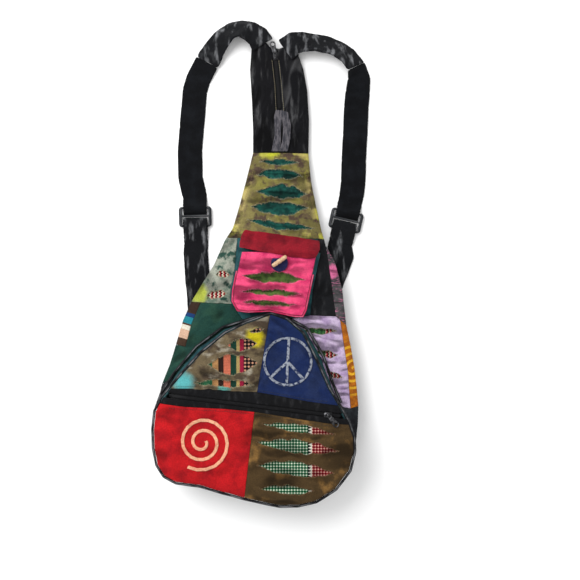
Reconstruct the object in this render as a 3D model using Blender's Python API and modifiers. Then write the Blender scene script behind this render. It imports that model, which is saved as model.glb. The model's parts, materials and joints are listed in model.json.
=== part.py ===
# Patchwork backpack lying on its back: metres, +Z up from the floor, +Y along the bag to its neck.
# The origin is on the floor under the flat back panel. Run in Blender 4.5 as it is.
#
# The bag is sewn from thin sheets. Every sheet is a flat outline with its holes, extruded and
# then raised onto a surface, so neighbours share their seam lines and sheets that lie on each
# other share their surface.

import math

import bmesh
import bpy
from mathutils import Matrix, Vector

# Cloth
CLOTH = 0.0022  # a patch with its lining
BACKING = 0.0012  # the single cloth seen through the slits
GAP = 0.0003  # between pieces that are sewn or lie together
GRID = 0.020  # spacing of the creases that a raised sheet bends at

# Depth of the bag, measured up from the floor
BACK_THICKNESS = 0.0025
NECK_DEPTH = 0.013
NECK_EDGE = 0.0056
NECK_SHOULDER = 0.014
BODY_SHOULDER = 0.042
BACK_INSET = 0.012
DEPTH_STATIONS = (  # y, height at the side seam, height of the middle
    (0.240, NECK_EDGE, NECK_DEPTH),
    (0.215, 0.0065, 0.016),
    (0.150, 0.0120, 0.030),
    (0.050, 0.0200, 0.046),
    (-0.050, 0.0260, 0.050),
    (-0.200, 0.0360, 0.050),
    (-0.340, 0.0420, 0.050),
)
GUSSET_TOP = 0.190  # the side gussets run out here, where the neck begins
GUSSET_STEP = 0.012
HEAD_INSET = 0.0015  # from the side seam to the gusset's upper edge
BOTTOM_CORNERS = ((-0.1460, -0.302), (0.0740, -0.330))  # between them runs the bottom strip
SEAM_EASE = 0.0009  # over or under a wall that meets a bent sheet

# Side seams of the bag, from the neck down to the bottom corners
NECK_LEFT = ((-0.0300, 0.400), (-0.0330, 0.357), (-0.0300, 0.308), (-0.0280, 0.260))
NECK_RIGHT = ((0.0430, 0.389), (0.0540, 0.357), (0.0600, 0.324), (0.0630, 0.276))
NECK_SEAM = ((-0.0280, 0.222), (0.0620, 0.221))
BODY_LEFT = (
    (-0.0390, 0.177),
    (-0.0490, 0.137),
    (-0.0600, 0.100),
    (-0.0730, 0.079),
    (-0.0900, 0.040),
    (-0.1080, 0.011),
    (-0.1260, -0.019),
    (-0.1390, -0.048),
    (-0.1500, -0.087),
    (-0.1600, -0.119),
    (-0.1720, -0.150),
    (-0.1790, -0.180),
)
BOTTOM = (
    (-0.1820, -0.216),
    (-0.1800, -0.248),
    (-0.1750, -0.274),
    (-0.1640, -0.291),
    (-0.1460, -0.302),
    (-0.1080, -0.305),
    (-0.0760, -0.315),
    (-0.0420, -0.324),
    (-0.0120, -0.331),
    (0.0160, -0.337),
    (0.0440, -0.336),
    (0.0740, -0.330),
    (0.1040, -0.311),
    (0.1260, -0.282),
    (0.1360, -0.250),
)
BODY_RIGHT = (
    (0.1400, -0.215),
    (0.1410, -0.185),
    (0.1390, -0.160),
    (0.1350, -0.124),
    (0.1290, -0.090),
    (0.1220, -0.056),
    (0.1160, 0.000),
    (0.1040, 0.045),
    (0.0900, 0.070),
    (0.0830, 0.094),
    (0.0740, 0.136),
    (0.0660, 0.176),
)

# Seams between the patches of the bag's front
YELLOW_SEAM = (Vector((-0.0900, 0.0840)), Vector((0.1100, 0.0810)))
CENTRE_TOP = (-0.0520, 0.0770)  # x of its two upper corners
CENTRE_LEFT = (Vector((-0.0600, -0.022)), Vector((-0.0300, -0.066)))
CENTRE_RIGHT = (Vector((0.0300, -0.070)), Vector((0.0300, -0.046)), Vector((0.0640, -0.040)))
GREEN_FOOT = (Vector((-0.1200, -0.118)), Vector((-0.0700, -0.088)))
EDGE_STRIP = (Vector((-0.1340, -0.090)), Vector((-0.1240, -0.052)))
EDGE_STRIP_WIDTH = 0.016
RUFFLE_LEFT = Vector((0.1050, -0.042))
LAVENDER_RIGHT = (Vector((0.1280, -0.188)), Vector((0.1240, -0.130)), Vector((0.1180, -0.090)))
LAVENDER_TOP = 0.4  # share of the ruffle's lower edge that the lavender panel meets
LAVENDER_FOOT = (Vector((0.0520, -0.105)), Vector((0.0850, -0.150)), Vector((0.1150, -0.185)))
# Points of the side seams where patches begin and end, counted down each side
GREEN_TOP = 6
STRIP_FOOT = 8
GREEN_END = 10
RUFFLE_TOP = 8
RUFFLE_FOOT = 5
ORANGE_END = 1

# Neck
ZIP_TOP = Vector((0.0086, 0.3782))
ZIP_FOOT = Vector((0.0158, 0.2926))
NOTCH_DEPTH = 0.011  # from the slider's place up to where the lobes part
NOTCH_LEFT = Vector((-0.0060, 0.4000))
NOTCH_RIGHT = Vector((0.0240, 0.3940))

# Zips
COIL_WIDTH = 0.0050
COIL_HEIGHT = 0.0016
COIL_SLOT = 0.0016  # beside the coil, where the slider's sides run
TAPE_WIDTH = 0.0100
TAPE = 0.0008
SLIDER_LENGTH = 0.0120
SLIDER_WALL = 0.0010
SLIDER_ROOF = 0.0014
RUN = 0.0004  # running clearance round the coil
BAIL_RADIUS = 0.0028
BAIL_WIRE = 0.0008
PULL_LENGTH = 0.0240
PULL_WIDTH = 0.0095
PULL_THICKNESS = 0.0012
NECK_PULL_TURN = math.radians(104)  # the way each pull lies, from +X
POCKET_PULL_TURN = math.radians(-50)

# Big pocket, its front outline from the apex anticlockwise
POCKET = (
    (0.0030, -0.0385),
    (-0.0350, -0.0520),
    (-0.0680, -0.0680),
    (-0.1060, -0.0990),
    (-0.1420, -0.1390),
    (-0.1660, -0.1680),
    (-0.1770, -0.1890),
    (-0.1800, -0.2170),
    (-0.1790, -0.2460),
    (-0.1740, -0.2720),
    (-0.1630, -0.2890),
    (-0.1450, -0.2990),
    (-0.1080, -0.3030),
    (-0.0760, -0.3130),
    (-0.0420, -0.3220),
    (-0.0120, -0.3290),
    (0.0160, -0.3350),
    (0.0440, -0.3345),
    (0.0720, -0.3280),
    (0.1020, -0.3090),
    (0.1240, -0.2800),
    (0.1310, -0.2520),
    (0.1300, -0.2290),
    (0.1220, -0.2060),
    (0.1080, -0.1810),
    (0.0910, -0.1530),
    (0.0720, -0.1100),
    (0.0510, -0.0680),
    (0.0270, -0.0470),
)
RIM_INSET = 0.001  # from a pocket's outline in to its gusset
POCKET_EDGE = 0.072  # height of the pocket's rim above the floor
POCKET_DEPTH = 0.080  # height of its middle
POCKET_SHOULDER = 0.016
POCKET_LEAN = 0.011  # how far the gusset spreads from the rim to the bag
LEAN_APEX = (-0.045, -0.075)  # between these the spread grows from nothing
LEAN_FOOT = (-0.130, -0.200)  # and between these it shrinks again to an upright wall
PIPING_RADIUS = 0.0021
SEAM_PIPING_RADIUS = 0.0024
UPPER_SEAM_TOP = Vector((0.0040, -0.020))  # both seams run on past the outline
LOWER_SEAM_FOOT = Vector((-0.0420, -0.350))
BAND_TOP = (  # the zip band's upper seam; the upper patches meet at its fifth point
    (-0.1800, -0.1520),
    (-0.1440, -0.1535),
    (-0.1170, -0.1530),
    (-0.0810, -0.1555),
    (-0.0190, -0.1585),
    (0.0130, -0.1640),
    (0.0600, -0.1730),
    (0.1300, -0.1830),
)
BAND_FOOT = (  # its lower seam; the lower patches meet at its fourth point
    (-0.1900, -0.1740),
    (-0.1330, -0.1810),
    (-0.0670, -0.1845),
    (-0.0230, -0.1890),
    (0.0370, -0.1985),
    (0.0840, -0.2060),
    (0.1400, -0.2110),
)
ZIP_LEFT = Vector((-0.1300, -0.1670))
ZIP_RIGHT = Vector((0.0910, -0.1935))  # where the slider rests, closed

PEACE_CENTRE = Vector((0.0285, -0.1111))
PEACE_RADIUS = 0.0365
PEACE_LINE = 0.0040
SPIRAL_CENTRE = Vector((-0.1038, -0.2361))
SPIRAL_PITCH = 0.0160
SPIRAL_TURNS = 2.75
SPIRAL_END = math.radians(-121)
SPIRAL_LINE = 0.0052
ORNAMENT = 0.0008  # thickness of both

# Small pocket, its front outline from the top left anticlockwise
SMALL_POCKET = (
    (-0.0435, 0.0600),
    (-0.0500, 0.0300),
    (-0.0560, 0.0000),
    (-0.0570, -0.0170),
    (-0.0490, -0.0310),
    (-0.0340, -0.0330),
    (0.0000, -0.0315),
    (0.0400, -0.0400),
    (0.0510, -0.0400),
    (0.0555, -0.0310),
    (0.0600, -0.0080),
    (0.0670, 0.0250),
    (0.0745, 0.0600),
)
SMALL_DEPTH = 0.0140
SMALL_LEAN = 0.0065  # how far its gusset spreads, and how far it does at the foot
SMALL_LEAN_FOOT = 0.0015
SMALL_LEAN_RANGE = (-0.030, -0.016)
SMALL_PIPING_RADIUS = 0.0013
PIPING_TOP = 0.044
FLAP = (
    (-0.0400, 0.0960),
    (-0.0470, 0.0860),
    (-0.0490, 0.0670),
    (-0.0390, 0.0655),
    (-0.0150, 0.0605),
    (0.0130, 0.0565),
    (0.0290, 0.0520),
    (0.0570, 0.0490),
    (0.0720, 0.0500),
    (0.0790, 0.0620),
    (0.0790, 0.0785),
    (0.0200, 0.0880),
)
TOGGLE_PLACE = Vector((0.0155, 0.0450))
TOGGLE_LENGTH = 0.0270
TOGGLE_RADIUS = 0.0036
TOGGLE_GROOVE = 0.0006
TOGGLE_TURN = math.radians(35)
TOGGLE_CLEARANCE = 0.0016
DISC_RADIUS = 0.0135
DISC = 0.0012
TOGGLE_CORD_RADIUS = 0.0011

# Slits: left end, right end, rise of the upper lip, drop of the lower lip
YELLOW_SLITS = (
    ((-0.0176, 0.2064), (0.0470, 0.2064), 0.0048, 0.0048),
    ((-0.0224, 0.1856), (0.0530, 0.1824), 0.0125, 0.0060),
    ((-0.0224, 0.1584), (0.0600, 0.1536), 0.0140, 0.0110),
    ((-0.0320, 0.1344), (0.0620, 0.1312), 0.0080, 0.0150),
    ((-0.0368, 0.1130), (0.0720, 0.0990), 0.0020, 0.0110),
)
GREY_GREEN_SLITS = (
    ((-0.0860, 0.0239), (-0.0640, 0.0255), 0.0066, 0.0060),
    ((-0.1010, -0.0080), (-0.0680, -0.0060), 0.0080, 0.0070),
)
LAVENDER_SLITS = (
    ((0.0520, -0.0634), (0.1060, -0.0650), 0.0048, 0.0060),
    ((0.0720, -0.0983), (0.1080, -0.1030), 0.0048, 0.0060),
    ((0.0900, -0.1315), (0.1150, -0.1363), 0.0048, 0.0048),
)
PINK_SLITS = (
    ((-0.0440, 0.0220), (0.0571, 0.0173), 0.0090, 0.0090),
    ((-0.0480, -0.0010), (0.0500, -0.0060), 0.0055, 0.0055),
    ((-0.0440, -0.0180), (0.0430, -0.0240), 0.0045, 0.0040),
)
STRIPED_SLITS = (
    ((-0.0310, -0.0640), (-0.0080, -0.0610), 0.0030, 0.0055),
    ((-0.0660, -0.0872), (-0.0190, -0.0835), 0.0100, 0.0095),
    ((-0.0960, -0.1165), (-0.0170, -0.1135), 0.0165, 0.0165),
    ((-0.1180, -0.1445), (-0.0230, -0.1470), 0.0070, 0.0050),
)
BROWN_SLITS = (
    ((-0.0128, -0.2070), (0.1030, -0.2225), 0.0062, 0.0062),
    ((-0.0190, -0.2360), (0.1090, -0.2500), 0.0115, 0.0115),
    ((-0.0205, -0.2710), (0.1010, -0.2843), 0.0115, 0.0115),
    ((-0.0159, -0.3060), (0.0700, -0.3125), 0.0070, 0.0070),
)

# Straps: middle lines from the neck, x, y, height clear of the floor, roll in degrees
STRAP_WIDTH = 0.0400
STRAP = 0.0024
WEBBING = 0.0018
FLOOR = 0.0003
STRAP_LEFT = (
    (-0.0120, 0.3960, 0.0130, 0),
    (-0.0200, 0.4090, 0.0110, 10),
    (-0.0340, 0.4180, 0.0060, 26),
    (-0.0490, 0.4220, 0.0020, 38),
    (-0.0640, 0.4190, 0.0000, 38),
    (-0.0780, 0.4070, 0.0000, 28),
    (-0.0910, 0.3900, 0.0000, 16),
    (-0.1030, 0.3710, 0.0000, 6),
    (-0.1170, 0.3440, 0.0000, 0),
    (-0.1230, 0.3240, 0.0000, 0),
    (-0.1250, 0.2980, 0.0000, 0),
    (-0.1280, 0.2640, 0.0000, 0),
    (-0.1310, 0.2280, 0.0000, 0),
    (-0.1300, 0.1820, 0.0000, 0),
    (-0.1240, 0.1560, 0.0000, 0),
)
STRAP_RIGHT = (
    (0.0240, 0.3880, 0.0130, 0),
    (0.0400, 0.3990, 0.0120, -10),
    (0.0560, 0.4010, 0.0070, -24),
    (0.0730, 0.4000, 0.0020, -34),
    (0.0920, 0.3970, 0.0000, -34),
    (0.1100, 0.3900, 0.0000, -36),
    (0.1270, 0.3780, 0.0000, -38),
    (0.1390, 0.3620, 0.0000, -34),
    (0.1440, 0.3440, 0.0000, -20),
    (0.1420, 0.3220, 0.0000, -6),
    (0.1400, 0.2980, 0.0000, 0),
    (0.1380, 0.2510, 0.0000, 0),
    (0.1360, 0.2100, 0.0000, 0),
    (0.1350, 0.1760, 0.0000, 0),
    (0.1320, 0.1520, 0.0000, 0),
)
CLOTH_END = 7  # the station where the stonewashed cotton ends and the webbing goes on
BUCKLE_WIDTH = 0.0530
BUCKLE_LENGTH = 0.0330
BUCKLE_THICKNESS = 0.0028
BUCKLE_BAR = 0.0038
BUCKLE_SIDE = 0.0050
BUCKLE_MIDDLE = (0.0000, 0.0030)  # from and to, along the strap
BUCKLE_LEFT = Vector((-0.1220, 0.1190))
BUCKLE_RIGHT = Vector((0.1230, 0.1130))
TURN_LEFT = math.radians(1.5)
TURN_RIGHT = math.radians(-13)
LOOP_REACH = 0.0300  # from the buckle's middle to the seam of the loop round its bar
# The lower straps' middle lines, and their ends where they meet the back panel's edge
LOWER_LEFT = ((-0.1215, 0.0640), (-0.1205, 0.0450), (-0.1190, 0.0240))
LOWER_LEFT_END = ((-0.1325, -0.0520), (-0.0985, 0.0060))
LOWER_RIGHT = ((0.1165, 0.0560),)
LOWER_RIGHT_END = ((0.0967, 0.0340), (0.1088, -0.0200))

COLLECTION = "backpack"


# Scene and materials


def clear_scene():
    for obj in list(bpy.data.objects):
        bpy.data.objects.remove(obj, do_unlink=True)
    for mesh in list(bpy.data.meshes):
        bpy.data.meshes.remove(mesh)


def new_collection(name):
    made = bpy.data.collections.new(name)
    bpy.context.scene.collection.children.link(made)
    return made


def material(name, color, roughness=0.85, metallic=0.0):
    made = bpy.data.materials.get(name) or bpy.data.materials.new(name)
    made.use_nodes = True
    shader = made.node_tree.nodes["Principled BSDF"]
    shader.inputs["Base Color"].default_value = (*color, 1.0)
    shader.inputs["Roughness"].default_value = roughness
    shader.inputs["Metallic"].default_value = metallic
    made.diffuse_color = (*color, 1.0)
    return made


def place(name, mesh, color, roughness=0.85, metallic=0.0):
    obj = bpy.data.objects.new(name, mesh)
    parts.objects.link(obj)
    mesh.materials.clear()
    mesh.materials.append(material(name, color, roughness, metallic))
    return obj


# Outlines


def along(points, step=None):
    """A smooth line through the points, or the points themselves."""
    if step is None:
        return [Vector(p[:2]) for p in points]
    line = [Vector(p[:2]) for p in points]
    found = []
    for i in range(len(line) - 1):
        before = line[max(i - 1, 0)]
        after = line[min(i + 2, len(line) - 1)]
        a, b = line[i], line[i + 1]
        count = max(1, round((b - a).length / step))
        for k in range(count):
            t = k / count
            found.append(
                0.5
                * (
                    2 * a
                    + (b - before) * t
                    + (2 * before - 5 * a + 4 * b - after) * t**2
                    + (3 * a - before - 3 * b + after) * t**3
                )
            )
    found.append(line[-1])
    return found


def normals(points, closed):
    """The unit normal at each point, to the left of the direction of travel."""
    found = []
    count = len(points)
    for i, here in enumerate(points):
        before = points[(i - 1) % count] if closed or i else here
        after = points[(i + 1) % count] if closed or i < count - 1 else here
        first = (here - before).normalized()
        second = (after - here).normalized()
        whole = first + second
        if whole.length < 1e-6:
            whole = first
        whole.normalize()
        scale = 1 / max(0.5, whole.dot(second if second.length else first))
        found.append(Vector((-whole.y, whole.x)) * scale)
    return found


def offset(points, distance, closed=True):
    """The line moved to the left of its direction, which is inwards when it runs anticlockwise."""
    return [p + n * distance for p, n in zip(points, normals(points, closed))]


def area(points):
    return 0.5 * sum(
        a.x * b.y - b.x * a.y for a, b in zip(points, points[1:] + points[:1])
    )


def anticlockwise(points):
    return points if area(points) > 0 else points[::-1]


def tidy(points):
    """The outline without points that lie on each other."""
    found = []
    for p in points:
        if not found or (p - found[-1]).length > 0.0004:
            found.append(p)
    if (found[0] - found[-1]).length < 0.0004:
        found.pop()
    return found


def crossing(outline, a, b):
    """Where the segment a to b leaves the closed outline, as a number of steps along it."""
    count = len(outline)
    best = None
    for i in range(count):
        p, q = outline[i], outline[(i + 1) % count]
        edge, ray = q - p, b - a
        slope = edge.x * ray.y - edge.y * ray.x
        if abs(slope) < 1e-12:
            continue
        gap = a - p
        t = (gap.x * ray.y - gap.y * ray.x) / slope
        u = (gap.x * edge.y - gap.y * edge.x) / slope
        if 0 <= t < 1 and 0 <= u <= 1 and (best is None or u > best[0]):
            best = (u, i + t)
    if best is None:
        raise ValueError("a seam doesn't reach the outline")
    return best[1]


def point_at(outline, where):
    i = int(where) % len(outline)
    return outline[i].lerp(outline[(i + 1) % len(outline)], where - int(where))


def arc(outline, start, end):
    """The outline from one crossing forwards to another, with both ends."""
    if end < start:
        end += len(outline)
    inner = range(int(start) + 1, math.ceil(end))
    return (
        [point_at(outline, start)]
        + [outline[i % len(outline)] for i in inner]
        + [point_at(outline, end)]
    )


def between(chain, high, low):
    """The part of a chain that runs downwards, from one height y to another."""
    found = []
    for a, b in zip(chain, chain[1:]):
        for level in (high, low):
            if a.y > level >= b.y:
                found.append(a.lerp(b, (a.y - level) / (a.y - b.y)))
        if high > b.y > low:
            found.append(b)
    return sorted(found, key=lambda p: -p.y)


def distance(points, x, y, closed=False):
    here = Vector((x, y))
    best = 1.0
    ends = points[1:] + points[:1] if closed else points[1:]
    for a, b in zip(points, ends):
        edge = b - a
        t = max(0.0, min(1.0, (here - a).dot(edge) / edge.length_squared))
        best = min(best, (here - a - edge * t).length)
    return best


def inside(points, x, y):
    odd = False
    for a, b in zip(points, points[1:] + points[:1]):
        if (a.y > y) != (b.y > y) and x < a.x + (b.x - a.x) * (y - a.y) / (b.y - a.y):
            odd = not odd
    return odd


def slit(left, right, rise, drop, steps=4):
    """A lens between two points, its lips bowed up and down."""
    a, b = Vector(left), Vector(right)
    across = (b - a).normalized()
    up = Vector((-across.y, across.x))
    found = []
    for k in range(steps + 1):
        t = k / steps
        found.append(a.lerp(b, t) - up * drop * math.sin(math.pi * t) ** 0.8)
    for k in range(1, steps):
        t = 1 - k / steps
        found.append(a.lerp(b, t) + up * rise * math.sin(math.pi * t) ** 0.8)
    return found


# Surfaces


def stations(table, y, column):
    rows = sorted(table)
    if y <= rows[0][0]:
        return rows[0][column]
    for low, high in zip(rows, rows[1:]):
        if y <= high[0]:
            t = (y - low[0]) / (high[0] - low[0])
            return low[column] + (high[column] - low[column]) * t
    return rows[-1][column]


def rounded(u):
    """A quarter round: 0 at the seam, 1 from one shoulder's width inwards."""
    if u <= 0:
        return 0.6 * u
    if u >= 1:
        return 1.0
    return math.sqrt(1 - (1 - u) ** 2)


class Surface:
    """Heights at the corners of a triangular grid, flat between them, so that sheets fit."""

    def __init__(self, height):
        self.height = height
        self.known = {}

    def corner(self, i, j):
        if (i, j) not in self.known:
            self.known[i, j] = self.height(i * GRID, j * GRID)
        return self.known[i, j]

    def __call__(self, x, y):
        i, j = math.floor(x / GRID), math.floor(y / GRID)
        u, v = x / GRID - i, y / GRID - j
        if u + v <= 1:
            low = self.corner(i, j)
            return (
                low
                + u * (self.corner(i + 1, j) - low)
                + v * (self.corner(i, j + 1) - low)
            )
        high = self.corner(i + 1, j + 1)
        return (
            high
            + (1 - u) * (self.corner(i, j + 1) - high)
            + (1 - v) * (self.corner(i + 1, j) - high)
        )


# Solids


def filled(outline, holes=()):
    """A flat outline with its holes, filled and one unit thick, as a mesh in bmesh."""
    curve = bpy.data.curves.new("outline", "CURVE")
    curve.dimensions = "2D"
    curve.fill_mode = "BOTH"
    curve.extrude = 0.5
    for loop in (outline, *holes):
        spline = curve.splines.new("POLY")
        spline.points.add(len(loop) - 1)
        for point, p in zip(spline.points, loop):
            point.co = (p.x, p.y, 0.0, 1.0)
        spline.use_cyclic_u = True
    obj = bpy.data.objects.new("outline", curve)
    bpy.context.scene.collection.objects.link(obj)
    graph = bpy.context.evaluated_depsgraph_get()
    mesh = bpy.data.meshes.new_from_object(obj.evaluated_get(graph))
    bpy.data.objects.remove(obj, do_unlink=True)
    bpy.data.curves.remove(curve)
    bm = bmesh.new()
    bm.from_mesh(mesh)
    bpy.data.meshes.remove(mesh)
    bmesh.ops.remove_doubles(bm, verts=bm.verts, dist=1e-6)
    return bm


def crease(bm):
    """Cuts the outline along the grid's three directions, where a raised sheet bends."""
    for normal in (Vector((1, 0, 0)), Vector((0, 1, 0)), Vector((1, 1, 0))):
        levels = [v.co.dot(normal) / GRID for v in bm.verts]
        for k in range(math.ceil(min(levels)), math.floor(max(levels)) + 1):
            bmesh.ops.bisect_plane(
                bm,
                geom=bm.verts[:] + bm.edges[:] + bm.faces[:],
                plane_co=normal * (k * GRID / normal.length_squared),
                plane_no=normal,
                dist=1e-6,
            )


def finish_mesh(bm, name):
    bm.normal_update()
    bmesh.ops.dissolve_limit(
        bm, angle_limit=math.radians(0.05), verts=bm.verts[:], edges=bm.edges[:]
    )
    bmesh.ops.triangulate(bm, faces=bm.faces[:])
    bmesh.ops.recalc_face_normals(bm, faces=bm.faces[:])
    mesh = bpy.data.meshes.new(name)
    bm.to_mesh(mesh)
    bm.free()
    return mesh


def sheet(name, outline, low, high, color, holes=(), bends=True, roughness=0.85):
    """A sheet between two surfaces, given as functions of x and y."""
    bm = filled(offset(anticlockwise(tidy(outline)), GAP / 2), holes)
    if bends:
        crease(bm)
    for vert in bm.verts:
        x, y = vert.co.x, vert.co.y
        vert.co.z = low(x, y) if vert.co.z < 0 else high(x, y)
    return place(name, finish_mesh(bm, name), color, roughness)


def patch(name, outline, surface, color, slits=(), below=0.0, thickness=CLOTH):
    """A patch of cloth whose top lies a given distance below the surface."""

    def high(x, y):
        return surface(x, y) - below

    def low(x, y):
        return surface(x, y) - below - thickness

    return sheet(name, outline, low, high, color, [slit(*s) for s in slits])


def wall(name, feet, heads, color, closed=True, thickness=CLOTH):
    """A strip of cloth between a lower and an upper line, its outer face through both."""
    bm = bmesh.new()
    foot_in = offset([p.xy for p in feet], thickness, closed)
    head_in = offset([p.xy for p in heads], thickness, closed)
    rings = []
    for foot, head, fi, hi in zip(feet, heads, foot_in, head_in):
        corners = (foot, head, Vector((*hi, head.z)), Vector((*fi, foot.z)))
        rings.append([bm.verts.new(c) for c in corners])
    pairs = list(zip(rings, rings[1:] + rings[:1] if closed else rings[1:]))
    for one, two in pairs:
        for k in range(4):
            bm.faces.new((one[k], one[(k + 1) % 4], two[(k + 1) % 4], two[k]))
    if not closed:
        bm.faces.new(rings[0])
        bm.faces.new(rings[-1])
    bmesh.ops.triangulate(bm, faces=bm.faces[:])
    bmesh.ops.recalc_face_normals(bm, faces=bm.faces[:])
    mesh = bpy.data.meshes.new(name)
    bm.to_mesh(mesh)
    bm.free()
    return place(name, mesh, color)


def tube(name, points, radius, color, closed, resolution=1, roughness=0.6):
    curve = bpy.data.curves.new(name, "CURVE")
    curve.dimensions = "3D"
    curve.bevel_depth = radius
    curve.bevel_resolution = resolution
    curve.use_fill_caps = not closed
    spline = curve.splines.new("POLY")
    spline.points.add(len(points) - 1)
    for point, p in zip(spline.points, points):
        point.co = (*p, 1.0)
    spline.use_cyclic_u = closed
    obj = bpy.data.objects.new(name, curve)
    bpy.context.scene.collection.objects.link(obj)
    graph = bpy.context.evaluated_depsgraph_get()
    mesh = bpy.data.meshes.new_from_object(obj.evaluated_get(graph))
    bpy.data.objects.remove(obj, do_unlink=True)
    bm = bmesh.new()
    bm.from_mesh(mesh)
    bmesh.ops.remove_doubles(bm, verts=bm.verts[:], dist=1e-6)
    bmesh.ops.recalc_face_normals(bm, faces=bm.faces[:])
    bm.to_mesh(mesh)
    bm.free()
    mesh.shade_smooth()
    return place(name, mesh, color, roughness)


def rings_of(line, thickness, last=None):
    """The four corners at each station of a strap: x, y, z and roll in degrees."""
    points = [Vector(p[:3]) for p in line]
    rings = []
    across = None
    for i, here in enumerate(points):
        before = points[max(i - 1, 0)]
        after = points[min(i + 1, len(points) - 1)]
        tangent = (after - before).normalized()
        level = Vector((-tangent.y, tangent.x, 0.0))
        if across is None or level.length > 0.1:
            across = -level if across and across.dot(level) < 0 else level
        across = (across - tangent * across.dot(tangent)).normalized()
        turned = Matrix.Rotation(math.radians(line[i][3]), 3, tangent) @ across
        half = turned * STRAP_WIDTH / 2
        deep = tangent.cross(turned) * thickness / 2
        left, right = here + half, here - half
        if last and i == len(points) - 1:
            left, right = (Vector((*p, here.z)) for p in last)
        rings.append((right - deep, left - deep, left + deep, right + deep))
    return rings


def strap(name, rings, color):
    """A strap lofted through its rings of four corners."""
    bm = bmesh.new()
    made = [[bm.verts.new(c) for c in ring] for ring in rings]
    for one, two in zip(made, made[1:]):
        for k in range(4):
            bm.faces.new((one[k], one[(k + 1) % 4], two[(k + 1) % 4], two[k]))
    bm.faces.new(made[0])
    bm.faces.new(made[-1])
    bmesh.ops.triangulate(bm, faces=bm.faces[:])
    bmesh.ops.recalc_face_normals(bm, faces=bm.faces[:])
    mesh = bpy.data.meshes.new(name)
    bm.to_mesh(mesh)
    bm.free()
    return place(name, mesh, color)


def flat_mesh(name, outline, holes, low, high):
    bm = filled(anticlockwise(outline), holes)
    for vert in bm.verts:
        vert.co.z = low if vert.co.z < 0 else high
    return finish_mesh(bm, name)


def rectangle(x0, y0, x1, y1):
    return [Vector((x0, y0)), Vector((x1, y0)), Vector((x1, y1)), Vector((x0, y1))]


def circle(centre, radius, steps, start=0.0, turn=2 * math.pi):
    return [
        centre + Vector((math.cos(start + turn * k / steps), math.sin(start + turn * k / steps))) * radius
        for k in range(steps)
    ]


clear_scene()
parts = new_collection(COLLECTION)
cutters = new_collection("cutters")

# The bag's own lines and surfaces

left_chain = along((*NECK_LEFT, NECK_SEAM[0], *BODY_LEFT))
right_chain = along((*NECK_RIGHT, NECK_SEAM[1], *BODY_RIGHT[::-1]))
bottom_line = along(BOTTOM)
edge_line = left_chain + bottom_line + right_chain[::-1]
open_mouth = edge_line + [edge_line[-1] + Vector((0, 1)), edge_line[0] + Vector((0, 1))]
pocket_line = along(POCKET)
small_line = along(SMALL_POCKET)


def shoulder_width(y):
    t = max(0.0, min(1.0, (0.235 - y) / 0.12))
    return NECK_SHOULDER + (BODY_SHOULDER - NECK_SHOULDER) * t


def front_height(x, y):
    reach = distance(edge_line, x, y)
    if not inside(open_mouth, x, y):
        reach = -reach
    edge = stations(DEPTH_STATIONS, y, 1)
    middle = stations(DEPTH_STATIONS, y, 2)
    return edge + (middle - edge) * rounded(reach / shoulder_width(y))


def pocket_height(x, y):
    reach = distance(pocket_line, x, y, closed=True)
    if not inside(pocket_line, x, y):
        reach = -reach
    return POCKET_EDGE + (POCKET_DEPTH - POCKET_EDGE) * rounded(reach / POCKET_SHOULDER)


front = Surface(front_height)
pocket_top = Surface(pocket_height)


def small_top(x, y):
    return front(x, y) + SMALL_DEPTH


def side_point(chain, y):
    """The point of a side seam at a height y."""
    return between(chain, y, y - 1.0)[0]


# Back and side gussets

BLACK = (0.012, 0.012, 0.014)
TEAL = (0.026, 0.083, 0.092)


def back_inset(y):
    t = max(0.0, min(1.0, (0.215 - y) / 0.095))
    return GAP + (BACK_INSET - GAP) * t


back_line = [
    p + n * back_inset(p.y)
    for p, n in zip(edge_line, normals(edge_line, closed=True))
]
seam_y = NECK_SEAM[0][1]
body_back = [p for p in back_line if p.y <= seam_y]
back_panel = sheet(
    "back_panel",
    body_back,
    lambda x, y: 0.0,
    lambda x, y: BACK_THICKNESS,
    BLACK,
    bends=False,
)
neck_count = len(NECK_LEFT)
neck_back = sheet(
    "neck_back",
    back_line[:neck_count] + [body_back[0], body_back[-1]] + back_line[-neck_count:],
    lambda x, y: 0.0,
    lambda x, y: BACK_THICKNESS,
    BLACK,
    bends=False,
)


def gusset_rings(points):
    """Four corners at each station of a side seam: the foot on the back, the head under the front."""
    line = []
    for a, b in zip(points, points[1:]):
        count = max(1, math.ceil((b - a).length / GUSSET_STEP))
        line += [a.lerp(b, k / count) for k in range(count)]
    line.append(points[-1])
    rings = []
    for p, n in zip(line, normals(line, closed=False)):
        foot = p + n * (back_inset(p.y) + GAP)
        head = p + n * HEAD_INSET
        inner = head + n * CLOTH
        top = min(front(*head), front(*inner), front(*p)) - CLOTH - SEAM_EASE
        low = BACK_THICKNESS + GAP
        foot_in = foot + n * CLOTH
        rings.append([Vector((*foot, low)), Vector((*head, top))])
        rings[-1] += [Vector((*inner, top)), Vector((*foot_in, low))]
    return rings


def moved_on(rings, start):
    """The rings from one of them onwards, the first moved on by the gap between two pieces."""
    on = (rings[start + 1][0] - rings[start][0]).xy.normalized() * GAP
    return [[c + Vector((*on, 0.0)) for c in rings[start]]] + rings[start + 1 :]


def nearest(rings, where):
    return min(range(len(rings)), key=lambda i: (rings[i][0].xy - Vector(where)).length)


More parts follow.
